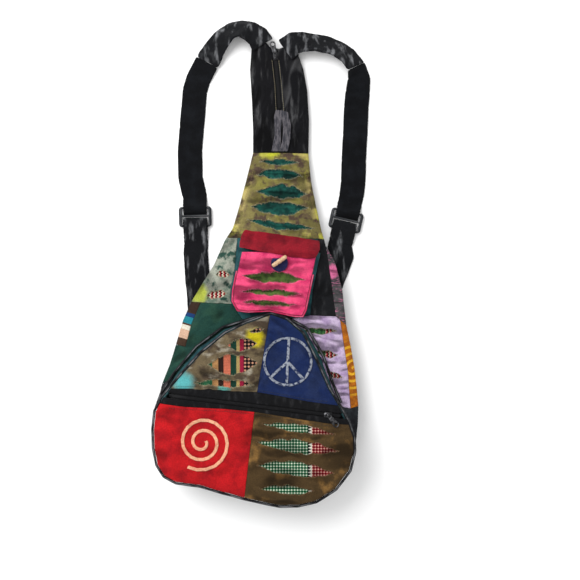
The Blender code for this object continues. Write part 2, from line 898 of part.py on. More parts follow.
left_top = side_point(left_chain, GUSSET_TOP)
right_top = side_point(right_chain, GUSSET_TOP)
side_run = [left_top] + [p for p in left_chain if p.y < GUSSET_TOP] + bottom_line
side_run += [p for p in right_chain[::-1] if p.y < GUSSET_TOP] + [right_top]
gusset = gusset_rings(side_run)
left_corner, right_corner = (nearest(gusset, where) for where in BOTTOM_CORNERS)
strap("side_gusset_left", gusset[: left_corner + 1], (0.05, 0.09, 0.12))
strap("bottom_gusset", moved_on(gusset[: right_corner + 1], left_corner), BLACK)
strap("side_gusset_right", moved_on(gusset, right_corner), (0.10, 0.06, 0.05))

# Neck

STONE = (0.014, 0.014, 0.017)
GREY = (0.114, 0.107, 0.122)

zip_down = (ZIP_FOOT - ZIP_TOP).normalized()
zip_side = Vector((-zip_down.y, zip_down.x))  # towards the right half
slot = COIL_WIDTH / 2 + COIL_SLOT
seam_foot = ZIP_FOOT + zip_down * (ZIP_FOOT.y - seam_y)
neck_left = [
    *left_chain[:neck_count],
    Vector(NECK_SEAM[0]),
    seam_foot,
    ZIP_FOOT,
    ZIP_FOOT - zip_side * slot,
    ZIP_TOP - zip_side * slot,
    ZIP_TOP - zip_side * slot - zip_down * NOTCH_DEPTH,
    NOTCH_LEFT,
]
neck_right = [
    seam_foot,
    Vector(NECK_SEAM[1]),
    *right_chain[:neck_count][::-1],
    NOTCH_RIGHT,
    ZIP_TOP + zip_side * slot - zip_down * NOTCH_DEPTH,
    ZIP_TOP + zip_side * slot,
    ZIP_FOOT + zip_side * slot,
    ZIP_FOOT,
]
patch("neck_front_left", neck_left, front, STONE)
patch("neck_front_right", neck_right, front, STONE)


def strip(a, b, low_side, high_side):
    """A straight strip along a line, between two distances to its left."""
    ahead = (b - a).normalized()
    side = Vector((-ahead.y, ahead.x))
    return [a + side * low_side, b + side * low_side, b + side * high_side, a + side * high_side]


tape_top = ZIP_TOP - zip_down * NOTCH_DEPTH * 0.5
tape_foot = ZIP_FOOT + zip_down * 0.004
tape_below = CLOTH + GAP
coil_below = CLOTH + GAP - COIL_HEIGHT - GAP
patch("neck_zip_tape_left", strip(tape_top, tape_foot, -TAPE_WIDTH, 0), front, BLACK, (), tape_below, TAPE)
patch("neck_zip_tape_right", strip(tape_top, tape_foot, 0, TAPE_WIDTH), front, BLACK, (), tape_below, TAPE)
patch(
    "neck_zip_coil",
    strip(ZIP_TOP - zip_down * 0.004, ZIP_FOOT - zip_down * GAP, -COIL_WIDTH / 2, COIL_WIDTH / 2),
    front,
    (0.03, 0.03, 0.035),
    (),
    coil_below,
    COIL_HEIGHT,
)

loop_outline = [
    Vector((0.0285, 0.2235)),
    Vector((0.0330, 0.2450)),
    Vector((0.0335, 0.2665)),
    Vector((0.0290, 0.2870)),
    Vector((0.0225, 0.2900)),
    Vector((0.0085, 0.2915)),
    Vector((0.0060, 0.2800)),
    Vector((0.0070, 0.2500)),
    Vector((0.0020, 0.2235)),
]
loop_slit = [
    Vector((0.0160, 0.2290)),
    Vector((0.0195, 0.2400)),
    Vector((0.0205, 0.2600)),
    Vector((0.0195, 0.2800)),
    Vector((0.0178, 0.2600)),
    Vector((0.0172, 0.2400)),
]


def over_front(lift):
    return lambda x, y: front(x, y) + lift


sheet(
    "neck_loop",
    loop_outline,
    over_front(GAP),
    over_front(GAP + 2 * BACKING),
    GREY,
    [loop_slit],
)

# Patches of the bag's front

YELLOW = (0.42, 0.36, 0.10)
first_left = neck_count
first_right = len(edge_line) - 1 - neck_count


def left_at(number):
    return first_left + 1 + number


def right_at(number):
    """The place along the outline of a numbered point of the right seam, from the bottom."""
    return first_right - len(BODY_RIGHT) + number


yellow_left = crossing(edge_line, YELLOW_SEAM[1], YELLOW_SEAM[0])
yellow_right = crossing(edge_line, YELLOW_SEAM[0], YELLOW_SEAM[1])
seam_left, seam_right = point_at(edge_line, yellow_left), point_at(edge_line, yellow_right)


def on_yellow_seam(x):
    return seam_left.lerp(seam_right, (x - seam_left.x) / (seam_right.x - seam_left.x))


centre_top = [on_yellow_seam(x) for x in CENTRE_TOP]
strip_top = edge_line[left_at(GREEN_TOP)]
strip_top = strip_top + (CENTRE_LEFT[0] - strip_top).normalized() * EDGE_STRIP_WIDTH
lavender_corner = RUFFLE_LEFT.lerp(edge_line[right_at(RUFFLE_FOOT)], LAVENDER_TOP)

patch(
    "yellow_panel",
    arc(edge_line, first_left, yellow_left) + arc(edge_line, yellow_right, first_right),
    front,
    YELLOW,
    YELLOW_SLITS,
)
patch(
    "grey_green_panel",
    arc(edge_line, yellow_left, left_at(GREEN_TOP)) + [strip_top, CENTRE_LEFT[0], centre_top[0]],
    front,
    (0.27, 0.36, 0.28),
    GREY_GREEN_SLITS,
)
patch(
    "left_edge_patches",
    arc(edge_line, left_at(GREEN_TOP), left_at(STRIP_FOOT)) + [*EDGE_STRIP, strip_top],
    front,
    (0.03, 0.07, 0.16),
)
patch(
    "dark_green_panel",
    arc(edge_line, left_at(STRIP_FOOT), left_at(GREEN_END))
    + [*GREEN_FOOT, CENTRE_LEFT[1], CENTRE_LEFT[0], strip_top, *EDGE_STRIP[::-1]],
    front,
    (0.017, 0.053, 0.040),
)
patch("centre_panel", [centre_top[0], *CENTRE_LEFT, *CENTRE_RIGHT, centre_top[1]], front, BLACK)
patch(
    "black_panel",
    [centre_top[1], CENTRE_RIGHT[2], RUFFLE_LEFT]
    + arc(edge_line, right_at(RUFFLE_TOP), yellow_right),
    front,
    (0.016, 0.017, 0.018),
)
patch(
    "ruffle_panel",
    [RUFFLE_LEFT, lavender_corner] + arc(edge_line, right_at(RUFFLE_FOOT), right_at(RUFFLE_TOP)),
    front,
    (0.12, 0.09, 0.10),
)
patch(
    "lavender_panel",
    [
        CENTRE_RIGHT[1],
        CENTRE_RIGHT[0],
        *LAVENDER_FOOT,
        *LAVENDER_RIGHT,
        lavender_corner,
        RUFFLE_LEFT,
        CENTRE_RIGHT[2],
    ],
    front,
    (0.50, 0.38, 0.56),
    LAVENDER_SLITS,
)
patch(
    "orange_panel",
    [lavender_corner, *LAVENDER_RIGHT[::-1]]
    + arc(edge_line, right_at(ORANGE_END), right_at(RUFFLE_FOOT)),
    front,
    (0.50, 0.15, 0.02),
)
patch(
    "lower_front_panel",
    arc(edge_line, left_at(GREEN_END), right_at(ORANGE_END))
    + [LAVENDER_RIGHT[0], *LAVENDER_FOOT[::-1], CENTRE_RIGHT[0], CENTRE_LEFT[1], *GREEN_FOOT[::-1]],
    front,
    BLACK,
)


def backing(name, slits, surface, color, margin=0.005, below=0.0):
    """The cloth under a group of slits, a little larger than they are."""
    side = Vector((margin, 0))
    top, foot = slits[0], slits[-1]
    raise_top = Vector((0, max(top[2], 0) + margin))
    drop_foot = Vector((0, foot[3] + margin))
    lefts = [Vector(s[0]) - side for s in slits]
    rights = [Vector(s[1]) + side for s in slits]
    outline = (
        [lefts[0] + side + raise_top, *lefts, lefts[-1] + side - drop_foot]
        + [rights[-1] - side - drop_foot, *rights[::-1], rights[0] - side + raise_top]
    )
    patch(name, outline, surface, color, (), below + CLOTH + GAP, BACKING)


backing("upper_slit_backing", YELLOW_SLITS, front, (0.012, 0.089, 0.070))
backing("left_slit_backing", GREY_GREEN_SLITS, front, (0.20, 0.03, 0.03))
backing("lavender_slit_backing", LAVENDER_SLITS, front, (0.10, 0.12, 0.06))

# Big pocket

def creased(line, closed, most=0.014):
    """The line with a point wherever it crosses a crease of the grid."""
    found = []
    ends = line[1:] + line[:1] if closed else line[1:]
    for a, b in zip(line, ends):
        cuts = {0.0}
        for axis in (Vector((1, 0)), Vector((0, 1)), Vector((1, 1))):
            low, high = a.dot(axis) / GRID, b.dot(axis) / GRID
            if abs(high - low) < 1e-9:
                continue
            for k in range(math.ceil(min(low, high)), math.floor(max(low, high)) + 1):
                cuts.add(round((k - low) / (high - low), 6))
        pieces = max(1, math.ceil((b - a).length / most))
        cuts |= {k / pieces for k in range(pieces)}
        last = None
        for t in sorted(c for c in cuts if 0 <= c < 1):
            if last is None or (t - last) * (b - a).length > 0.0015:
                found.append((a.lerp(b, t)))
                last = t
    if not closed:
        found.append(line[-1])
    return found


def ramp(value, start, end):
    return max(0.0, min(1.0, (value - start) / (end - start)))


def pocket_lean(y):
    return POCKET_LEAN * ramp(y, *LEAN_APEX) * (1 - ramp(y, *LEAN_FOOT))


pocket_out = normals(pocket_line, closed=True)
pocket_base = [p + n * (RIM_INSET - pocket_lean(p.y)) for p, n in zip(pocket_line, pocket_out)]
gusset_foot = creased(pocket_base, closed=True)


def matching(points, base, target, closed=True):
    """For each point of the base line, the point as far along the target line."""
    found = []
    for p in points:
        best = None
        for i in range(len(base) if closed else len(base) - 1):
            a, b = base[i], base[(i + 1) % len(base)]
            edge = b - a
            t = max(0.0, min(1.0, (p - a).dot(edge) / edge.length_squared))
            away = (p - a - edge * t).length
            if best is None or away < best[0]:
                best = (away, target[i].lerp(target[(i + 1) % len(target)], t))
        found.append(best[1])
    return found


pocket_rim = [p + n * RIM_INSET for p, n in zip(pocket_line, pocket_out)]
gusset_head = matching(gusset_foot, pocket_base, pocket_rim)


def lowest(surface, points, closed=True):
    """Heights of the surface at each point, or just inside it if that is lower."""
    inner = offset(points, CLOTH, closed)
    return [min(surface(*p), surface(*q)) for p, q in zip(points, inner)]


def highest(surface, points, closed=True):
    inner = offset(points, CLOTH, closed)
    return [max(surface(*p), surface(*q)) for p, q in zip(points, inner)]


wall(
    "pocket_gusset",
    [Vector((*p, z + SEAM_EASE)) for p, z in zip(gusset_foot, highest(front, gusset_foot))],
    [
        Vector((*p, z - CLOTH - SEAM_EASE))
        for p, z in zip(gusset_head, lowest(pocket_top, gusset_head))
    ],
    TEAL,
)

piping_line = offset(pocket_line, -(PIPING_RADIUS + GAP))
tube(
    "pocket_piping",
    [(*p, pocket_top(*q) - CLOTH / 2) for p, q in zip(piping_line, pocket_line)],
    PIPING_RADIUS,
    (0.02, 0.02, 0.025),
    closed=True,
)
seam_reach = SEAM_PIPING_RADIUS + GAP + RIM_INSET
upper_base = [p - n * seam_reach for p, n in zip(pocket_base, pocket_out) if p.y > LEAN_FOOT[1]]
split_at = next(i for i, p in enumerate(upper_base) if i and p.x > upper_base[i - 1].x)
seam_line = upper_base[split_at:] + upper_base[:split_at]
seam_line = creased(seam_line, closed=False, most=0.012)


def rests(surface, p, radius):
    """Height of a cord's middle where it lies on a surface."""
    around = [surface(p.x + dx, p.y + dy) for dx in (-radius, 0, radius) for dy in (-radius, 0, radius)]
    return max(around) + radius + SEAM_EASE


tube(
    "pocket_seam_piping",
    [(*p, rests(front, p, SEAM_PIPING_RADIUS)) for p in seam_line],
    SEAM_PIPING_RADIUS,
    BLACK,
    closed=False,
)

band_top, band_foot = along(BAND_TOP), along(BAND_FOOT)
MEET_TOP, MEET_FOOT = 4, 3
apex = crossing(pocket_line, band_top[MEET_TOP], UPPER_SEAM_TOP)
base = crossing(pocket_line, band_foot[MEET_FOOT], LOWER_SEAM_FOOT)
top_left = crossing(pocket_line, band_top[1], band_top[0])
top_right = crossing(pocket_line, band_top[-2], band_top[-1])
foot_left = crossing(pocket_line, band_foot[1], band_foot[0])
foot_right = crossing(pocket_line, band_foot[-2], band_foot[-1])
zip_ahead = (ZIP_RIGHT - ZIP_LEFT).normalized()
zip_up = Vector((-zip_ahead.y, zip_ahead.x))
far = 0.10  # well past the pocket's edge


def slot_end(start, direction, side):
    return crossing(pocket_line, start + zip_up * side, start + direction * far + zip_up * side)


upper_left, lower_left = slot_end(ZIP_LEFT, -zip_ahead, slot), slot_end(ZIP_LEFT, -zip_ahead, -slot)
upper_right, lower_right = slot_end(ZIP_RIGHT, zip_ahead, slot), slot_end(ZIP_RIGHT, zip_ahead, -slot)

patch(
    "pocket_striped_patch",
    arc(pocket_line, apex, top_left) + band_top[1 : MEET_TOP + 1],
    pocket_top,
    (0.20, 0.16, 0.07),
    STRIPED_SLITS,
)
patch(
    "pocket_navy_patch",
    arc(pocket_line, top_right, apex) + band_top[MEET_TOP:-1],
    pocket_top,
    (0.008, 0.024, 0.095),
)
patch(
    "pocket_zip_tape_upper",
    arc(pocket_line, top_left, upper_left)
    + arc(pocket_line, upper_right, top_right)
    + band_top[1:-1][::-1],
    pocket_top,
    BLACK,
)
patch(
    "pocket_zip_tape_lower",
    arc(pocket_line, lower_left, foot_left)
    + band_foot[1:-1]
    + arc(pocket_line, foot_right, lower_right),
    pocket_top,
    BLACK,
)
patch(
    "pocket_red_patch",
    arc(pocket_line, foot_left, base) + band_foot[1 : MEET_FOOT + 1][::-1],
    pocket_top,
    (0.51, 0.013, 0.017),
)
patch(
    "pocket_brown_patch",
    arc(pocket_line, base, foot_right) + band_foot[MEET_FOOT:-1][::-1],
    pocket_top,
    (0.13, 0.06, 0.03),
    BROWN_SLITS,
)
backing("striped_slit_backing", STRIPED_SLITS, pocket_top, (0.10, 0.03, 0.04))
backing("brown_slit_backing", BROWN_SLITS, pocket_top, (0.05, 0.08, 0.05))

coil_left = point_at(pocket_line, upper_left).lerp(point_at(pocket_line, lower_left), 0.5)
coil_right = point_at(pocket_line, upper_right).lerp(point_at(pocket_line, lower_right), 0.5)
coil_inset = zip_ahead * 0.006
coil_strip = strip(coil_left + coil_inset, coil_right - coil_inset, -COIL_WIDTH / 2, COIL_WIDTH / 2)
patch("pocket_zip_coil", coil_strip, pocket_top, (0.03, 0.03, 0.035), (), coil_below, COIL_HEIGHT)
inset_more = zip_ahead * 0.002
tape_line = (coil_left + coil_inset + inset_more, coil_right - coil_inset - inset_more)
patch(
    "pocket_zip_backing_tape",
    strip(*tape_line, -slot - 0.002, slot + 0.002),
    pocket_top,
    BLACK,
    (),
    tape_below,
    TAPE,
)

# Ornaments sewn on the pocket


def over_pocket(lift):
    return lambda x, y: pocket_top(x, y) + lift


def sector(centre, radius, start, end, line, steps):
    """A slice of a disc, drawn in by half a line's width on every side."""
    half = line / 2
    reach = radius - half
    shift = math.asin(half / reach)
    middle = (start + end) / 2
    point = centre + Vector((math.cos(middle), math.sin(middle))) * (half / math.sin((end - start) / 2))
    angles = [start + shift + (end - start - 2 * shift) * k / steps for k in range(steps + 1)]
    return [point] + [centre + Vector((math.cos(a), math.sin(a))) * reach for a in angles]


peace_tilt = math.radians(-3)
peace_spokes = [math.radians(a) + peace_tilt for a in (-45, 90, 225, 270, 315)]
sheet(
    "peace_sign",
    circle(PEACE_CENTRE, PEACE_RADIUS + PEACE_LINE / 2, 36),
    over_pocket(GAP),
    over_pocket(GAP + ORNAMENT),
    (0.33, 0.37, 0.42),
    [
        sector(PEACE_CENTRE, PEACE_RADIUS, a, b, PEACE_LINE, max(5, round((b - a) * 6)))
        for a, b in zip(peace_spokes, peace_spokes[1:])
    ],
)
turns = [0.35 + (SPIRAL_TURNS - 0.35) * k / 44 for k in range(45)]
spiral_rays = [
    (SPIRAL_PITCH * t, SPIRAL_END + (SPIRAL_TURNS - t) * 2 * math.pi) for t in turns
]
spiral_sides = [
    [
        SPIRAL_CENTRE + Vector((math.cos(a), math.sin(a))) * (r + side * SPIRAL_LINE / 2)
        for r, a in spiral_rays
    ]
    for side in (1, -1)
]
sheet(
    "spiral",
    spiral_sides[0] + spiral_sides[1][::-1],
    over_pocket(GAP),
    over_pocket(GAP + ORNAMENT),
    (1.0, 0.50, 0.30),
)

# Small pocket

PINK = (0.95, 0.052, 0.20)
small_base = [
    p - n * (SMALL_LEAN_FOOT + (SMALL_LEAN - SMALL_LEAN_FOOT) * ramp(p.y, *SMALL_LEAN_RANGE))
    for p, n in zip(small_line, normals(small_line, closed=False))
]
small_foot = creased(small_base, closed=False)
small_rim = offset(small_line, RIM_INSET, closed=False)


small_head = matching(small_foot, small_base, small_rim, closed=False)
wall(
    "small_pocket_gusset",
    [Vector((*p, z + SEAM_EASE)) for p, z in zip(small_foot, highest(front, small_foot, False))],
    [
        Vector((*p, z - CLOTH - SEAM_EASE))
        for p, z in zip(small_head, lowest(small_top, small_head, False))
    ],
    TEAL,
    closed=False,
)
patch("small_pocket_front", small_line, small_top, PINK, PINK_SLITS)
backing("small_pocket_backing", PINK_SLITS, small_top, (0.09, 0.16, 0.03), margin=0.003)
small_out = normals(small_line, closed=False)
small_piping = [
    (*(p - n * (SMALL_PIPING_RADIUS + GAP)), small_top(*p) - CLOTH / 2)
    for p, n in zip(small_line, small_out)
    if p.y < PIPING_TOP
]
tube("small_pocket_piping", small_piping, SMALL_PIPING_RADIUS, BLACK, closed=False)

small_pocket_top = SMALL_POCKET[0][1]
flap_line = along(FLAP)


def flap_lift(x, y):
    """The flap lies on the pocket up to the crease above its mouth, and on the bag from there."""
    over = y < small_pocket_top + GRID - 1e-6
    return front(x, y) + (SMALL_DEPTH if over else 0.0)


flap_under = Surface(flap_lift)
sheet(
    "small_pocket_flap",
    flap_line,
    lambda x, y: flap_under(x, y) + GAP,
    lambda x, y: flap_under(x, y) + GAP + CLOTH,
    (0.30, 0.011, 0.030),
)
disc_centre = TOGGLE_PLACE - Vector((0, 0.003))
disc_outline = circle(disc_centre, DISC_RADIUS, 20)
disc_outline = [p for p in disc_outline if p.y < 0.0515]
sheet(
    "toggle_disc",
    disc_outline,
    lambda x, y: small_top(x, y) + GAP,
    lambda x, y: small_top(x, y) + GAP + DISC,
    (0.027, 0.027, 0.095),
)

# The toggle: a turned barrel on its cord

sweep = circle(TOGGLE_PLACE, TOGGLE_LENGTH / 2, 12)
flap_top_most = max(small_top(*p) for p in sweep) + GAP + CLOTH
toggle_height = flap_top_most + TOGGLE_CLEARANCE + TOGGLE_RADIUS
disc_top = small_top(*TOGGLE_PLACE) + GAP + DISC
tube(
    "toggle_cord",
    [(*TOGGLE_PLACE, disc_top + GAP), (*TOGGLE_PLACE, toggle_height - TOGGLE_RADIUS - GAP)],
    TOGGLE_CORD_RADIUS,
    BLACK,
    closed=False,
    resolution=2,
)


def turned(name, profile, steps=16):
    """A solid of revolution about Z from a profile of radius and height, top to bottom."""
    bm = bmesh.new()
    verts = [bm.verts.new((r, 0.0, z)) for r, z in profile]
    for a, b in zip(verts, verts[1:]):
        bm.edges.new((a, b))
    mesh = bpy.data.meshes.new(name)
    bm.to_mesh(mesh)
    bm.free()
    obj = bpy.data.objects.new(name, mesh)
    screw = obj.modifiers.new("turn", "SCREW")
    screw.steps = screw.render_steps = steps
    screw.use_merge_vertices = True
    screw.merge_threshold = 0.0001
    screw.use_smooth_shade = True
    return obj


half = TOGGLE_LENGTH / 2
groove = TOGGLE_RADIUS - TOGGLE_GROOVE
barrel = [(0.0, half), (TOGGLE_RADIUS * 0.55, half), (TOGGLE_RADIUS * 0.82, half - 0.0010)]
for centre in (0.0042, -0.0042):
    barrel += [
        (TOGGLE_RADIUS, centre + 0.0012),
        (groove, centre + 0.0006),
        (groove, centre - 0.0006),
        (TOGGLE_RADIUS, centre - 0.0012),
    ]
barrel += [(TOGGLE_RADIUS * 0.82, 0.0010 - half), (TOGGLE_RADIUS * 0.55, -half), (0.0, -half)]
toggle = turned("toggle", barrel)
parts.objects.link(toggle)
toggle.data.materials.append(material("toggle", (0.55, 0.38, 0.24), 0.45))
toggle.location = (*TOGGLE_PLACE, toggle_height)
toggle.rotation_euler = (0.0, math.pi / 2, TOGGLE_TURN)

# Zip sliders and their pulls

METAL = (0.05, 0.05, 0.055)


def extruded(name, profile, length):
    """A profile of width and height, drawn out along X and centred."""
    bm = filled(profile)
    for vert in bm.verts:
        x, y, z = vert.co
        vert.co = (length * z, x, y)
    return finish_mesh(bm, name)


def zip_slider(prefix, where, ahead, pull_ahead, surface):
    """A slider that clasps the coil, with the bail that holds its pull."""
    ceiling = GAP + COIL_HEIGHT + RUN
    roof = ceiling + SLIDER_ROOF
    inner = COIL_WIDTH / 2 + RUN
    outer = inner + SLIDER_WALL
    outline = ((-outer, RUN), (-inner, RUN), (-inner, ceiling), (inner, ceiling), (inner, RUN))
    outline += ((outer, RUN), (outer, roof), (-outer, roof))
    slider = place(
        prefix + "_slider",
        extruded(prefix + "_slider", [Vector(p) for p in outline], SLIDER_LENGTH),
        METAL,
        0.4,
        0.8,
    )
    height = surface(*where) - CLOTH - GAP
    slider.location = (*where, height)
    slider.rotation_euler.z = math.atan2(ahead.y, ahead.x)
    axis_height = height + roof + GAP + PULL_THICKNESS / 2
    lift = axis_height + PULL_THICKNESS / 2 + BAIL_WIRE + GAP * 2
    reach = [(-1, 0), (-1, 0.6), (-0.6, 1), (0.6, 1), (1, 0.6), (1, 0)]
    low = height + roof - SLIDER_ROOF / 2
    points = [
        (*(where + pull_ahead * BAIL_RADIUS * s), low + (lift - low) * t) for s, t in reach
    ]
    bail = tube(prefix + "_bail", points, BAIL_WIRE, METAL, closed=False)
    parts.objects.unlink(bail)
    cutters.objects.link(bail)
    bail.hide_render = True
    bail.display_type = "WIRE"
    join = slider.modifiers.new("bail", "BOOLEAN")
    join.operation = "UNION"
    join.object = bail
    eye = BAIL_RADIUS + BAIL_WIRE + 0.0014
    bar = 0.0007
    wide = PULL_WIDTH / 2
    pull_outline = [
        Vector(p)
        for p in (
            (-bar, -0.0028),
            (eye, -0.0030),
            (eye + 0.004, -wide * 0.8),
            (PULL_LENGTH - wide * 0.8, -wide),
            (PULL_LENGTH - wide * 0.2, -wide * 0.72),
            (PULL_LENGTH, 0.0),
            (PULL_LENGTH - wide * 0.2, wide * 0.72),
            (PULL_LENGTH - wide * 0.8, wide),
            (eye + 0.004, wide * 0.8),
            (eye, 0.0030),
            (-bar, 0.0028),
        )
    ]
    slot_hole = rectangle(bar, -0.0015, eye, 0.0015)
    ring_hole = circle(Vector((PULL_LENGTH - wide, 0.0)), wide * 0.55, 12)
    half_thick = PULL_THICKNESS / 2
    mesh = flat_mesh(
        prefix + "_pull", pull_outline, [slot_hole, ring_hole], -half_thick, half_thick
    )
    pull = place(prefix + "_pull", mesh, METAL, 0.4, 0.8)
    pull.location = (*where, axis_height)
    pull.rotation_euler.z = math.atan2(pull_ahead.y, pull_ahead.x)
    return axis_height


neck_pull_ahead = Vector((math.cos(NECK_PULL_TURN), math.sin(NECK_PULL_TURN)))
pocket_pull_ahead = Vector((math.cos(POCKET_PULL_TURN), math.sin(POCKET_PULL_TURN)))
zip_slider("neck_zip", ZIP_TOP, zip_down, neck_pull_ahead, front)
zip_slider("pocket_zip", ZIP_RIGHT, zip_ahead, pocket_pull_ahead, pocket_top)

# Straps and their buckles

WEB_BLACK = (0.010, 0.011, 0.014)


def lying(stations_of, thickness):
    """Stations of a strap with the height that its roll and its lift give it."""
    line = []
    for x, y, lift, roll in stations_of:
        raised = STRAP_WIDTH / 2 * math.sin(math.radians(abs(roll)))
        line.append((x, y, FLOOR + thickness / 2 + lift + raised, roll))
    return line


def at_buckle(centre, turn, local):
    """Stations given along the buckle and above the floor, set in the bag's frame."""
    line = []
    for y, z in local:
        line.append((centre.x - y * math.sin(turn), centre.y + y * math.cos(turn), z, 0.0))
    return line


frame_low = FLOOR + STRAP + 2 * GAP
frame_high = frame_low + BUCKLE_THICKNESS
half_length = BUCKLE_LENGTH / 2
bar_inner = half_length - BUCKLE_BAR
web_lies = FLOOR + WEBBING / 2
web_over = frame_high + WEBBING / 2 + 2 * GAP
THREADED = (
    (half_length + 0.0140, web_lies),
    (half_length + 0.0050, web_lies + 0.5 * (web_over - web_lies)),
    (half_length, web_over),
    (bar_inner, web_over + GAP),
    (bar_inner - 0.0045, (web_over + web_lies) * 0.62),
    (bar_inner - 0.0065, (web_over + web_lies) * 0.33),
    (BUCKLE_MIDDLE[1] + 0.0012, web_lies),
    (BUCKLE_MIDDLE[1] - 0.0020, web_lies),
)
cloth_lies = FLOOR + STRAP / 2
cloth_over = frame_high + STRAP / 2 + 2 * GAP
LOOPED = (
    (-LOOP_REACH, cloth_lies),
    (-0.0080, cloth_lies),
    (-0.0048, cloth_lies + 0.0004),
    (-0.0028, cloth_lies + 0.0018),
    (-0.0024, cloth_lies + 0.0036),
    (-0.0038, cloth_over - 0.0010),
    (-0.0076, cloth_over),
    (-half_length, cloth_over),
    (-half_length - 0.0065, cloth_over - 0.0017),
    (-LOOP_REACH, cloth_lies + STRAP + 2 * GAP),
    (-LOOP_REACH - 0.0060, cloth_lies + 0.0016),
    (-LOOP_REACH - 0.0140, cloth_lies),
)


def upper_strap(side, stations_of, centre, turn):
    """The stonewashed cotton end and the webbing below it, on one line."""
    line = lying(stations_of, STRAP) + at_buckle(centre, turn, THREADED)
    rings = rings_of(line, WEBBING)
    strap("strap_top_" + side, rings_of(line, STRAP)[: CLOTH_END + 1], STONE)
    on = (Vector(line[CLOTH_END + 1][:3]) - Vector(line[CLOTH_END][:3])).normalized() * GAP
    first = [c + on for c in rings[CLOTH_END]]
    strap("strap_webbing_" + side, [first] + rings[CLOTH_END + 1 :], WEB_BLACK)


def lower_strap(side, centre, turn, rest, last):
    """The loop round the buckle's bar and the strap that runs from it to the bag."""
    line = at_buckle(centre, turn, LOOPED) + [(*p, cloth_lies, 0.0) for p in rest]
    middle = Vector(last[0]).lerp(Vector(last[1]), 0.5)
    line.append((*middle, cloth_lies, 0.0))
    strap("lower_strap_" + side, rings_of(line, STRAP, last)[::-1], STONE)


def buckle(side, centre, turn):
    wide = BUCKLE_WIDTH / 2
    corner = 0.005
    outline = []
    for cx, cy, start in ((1, -1, -90), (1, 1, 0), (-1, 1, 90), (-1, -1, 180)):
        middle = Vector((cx * (wide - corner), cy * (half_length - corner)))
        outline += circle(middle, corner, 4, math.radians(start), math.radians(120))
    inner = wide - BUCKLE_SIDE
    slots = [
        rectangle(-inner, BUCKLE_MIDDLE[1], inner, bar_inner),
        rectangle(-inner, -bar_inner, inner, BUCKLE_MIDDLE[0]),
    ]
    mesh = flat_mesh("buckle_" + side, outline, slots, frame_low, frame_high)
    made = place("buckle_" + side, mesh, (0.03, 0.03, 0.033), 0.35)
    made.location = (*centre, 0.0)
    made.rotation_euler.z = turn


upper_strap("left", STRAP_LEFT, BUCKLE_LEFT, TURN_LEFT)
upper_strap("right", STRAP_RIGHT, BUCKLE_RIGHT, TURN_RIGHT)
buckle("left", BUCKLE_LEFT, TURN_LEFT)
buckle("right", BUCKLE_RIGHT, TURN_RIGHT)
lower_strap("left", BUCKLE_LEFT, TURN_LEFT, LOWER_LEFT, LOWER_LEFT_END)
lower_strap("right", BUCKLE_RIGHT, TURN_RIGHT, LOWER_RIGHT, LOWER_RIGHT_END)
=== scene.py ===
# %% [markdown]
# # Patchwork cotton backpack
# The bag lies on its back and the camera looks straight down on it.
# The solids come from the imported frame; each is turned into cloth, thread, cord, wood, plastic or metal here.

# %% Frame
import json
import math

import bmesh
import bpy
import numpy as np
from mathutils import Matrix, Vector
from mathutils.bvhtree import BVHTree


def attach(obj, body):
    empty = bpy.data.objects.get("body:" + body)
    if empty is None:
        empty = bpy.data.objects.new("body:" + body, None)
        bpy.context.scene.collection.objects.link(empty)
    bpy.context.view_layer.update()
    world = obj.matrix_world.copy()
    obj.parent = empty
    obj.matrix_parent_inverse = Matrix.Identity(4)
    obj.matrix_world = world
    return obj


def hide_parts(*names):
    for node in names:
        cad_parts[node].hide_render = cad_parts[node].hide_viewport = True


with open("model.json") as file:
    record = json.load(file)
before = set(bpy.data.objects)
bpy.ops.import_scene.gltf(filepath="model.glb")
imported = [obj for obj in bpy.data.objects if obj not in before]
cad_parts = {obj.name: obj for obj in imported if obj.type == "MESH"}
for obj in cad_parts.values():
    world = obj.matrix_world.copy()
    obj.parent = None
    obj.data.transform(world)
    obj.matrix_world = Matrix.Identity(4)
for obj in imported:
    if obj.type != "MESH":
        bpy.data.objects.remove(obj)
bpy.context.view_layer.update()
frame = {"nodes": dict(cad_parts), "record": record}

nodes = frame["nodes"]

# %% [markdown]
# ## Noise
# Folds in cloth are uneven, so every height below is built from smooth value noise on a hashed lattice.
# The hash is fixed, so each run gives the same folds.
# A cloth simulation would take minutes, for cloth that lies flat.

# %% Noise


def lattice(ix, iy, seed):
    """A repeatable value from -1 to 1 for each whole-number point."""
    h = (ix * 374761393 + iy * 668265263 + seed * 1442695041) & 0xFFFFFFFF
    h = ((h ^ (h >> 13)) * 1274126177) & 0xFFFFFFFF
    return ((h ^ (h >> 16)) & 0xFFFF) / 32767.5 - 1.0


def noise(x, y, seed=0):
    ix = np.floor(x).astype(np.int64)
    iy = np.floor(y).astype(np.int64)
    fx = x - ix
    fy = y - iy
    sx = fx * fx * (3 - 2 * fx)
    sy = fy * fy * (3 - 2 * fy)
    low = lattice(ix, iy, seed) * (1 - sx) + lattice(ix + 1, iy, seed) * sx
    high = lattice(ix, iy + 1, seed) * (1 - sx) + lattice(ix + 1, iy + 1, seed) * sx
    return low * (1 - sy) + high * sy


def folds(x, y, height, length, width, angle, seed):
    """Soft folds of that height, longer along the angle than across it, with a few sharp creases."""
    turn = math.radians(angle)
    along = (x * math.cos(turn) + y * math.sin(turn)) / length
    across = (y * math.cos(turn) - x * math.sin(turn)) / width
    across = across + 0.7 * noise(x / 0.035, y / 0.035, seed + 7)
    soft = 0.65 * noise(along, across, seed) + 0.35 * noise(along * 2.1, across * 2.1, seed + 1)
    sharp = np.exp(-((noise(along * 0.8, across * 0.9, seed + 3) / 0.10) ** 2))
    return height * (soft + 0.45 * sharp - 0.15)


print("noise halfway between four points", noise(np.array([0.5]), np.array([0.5])).round(3))


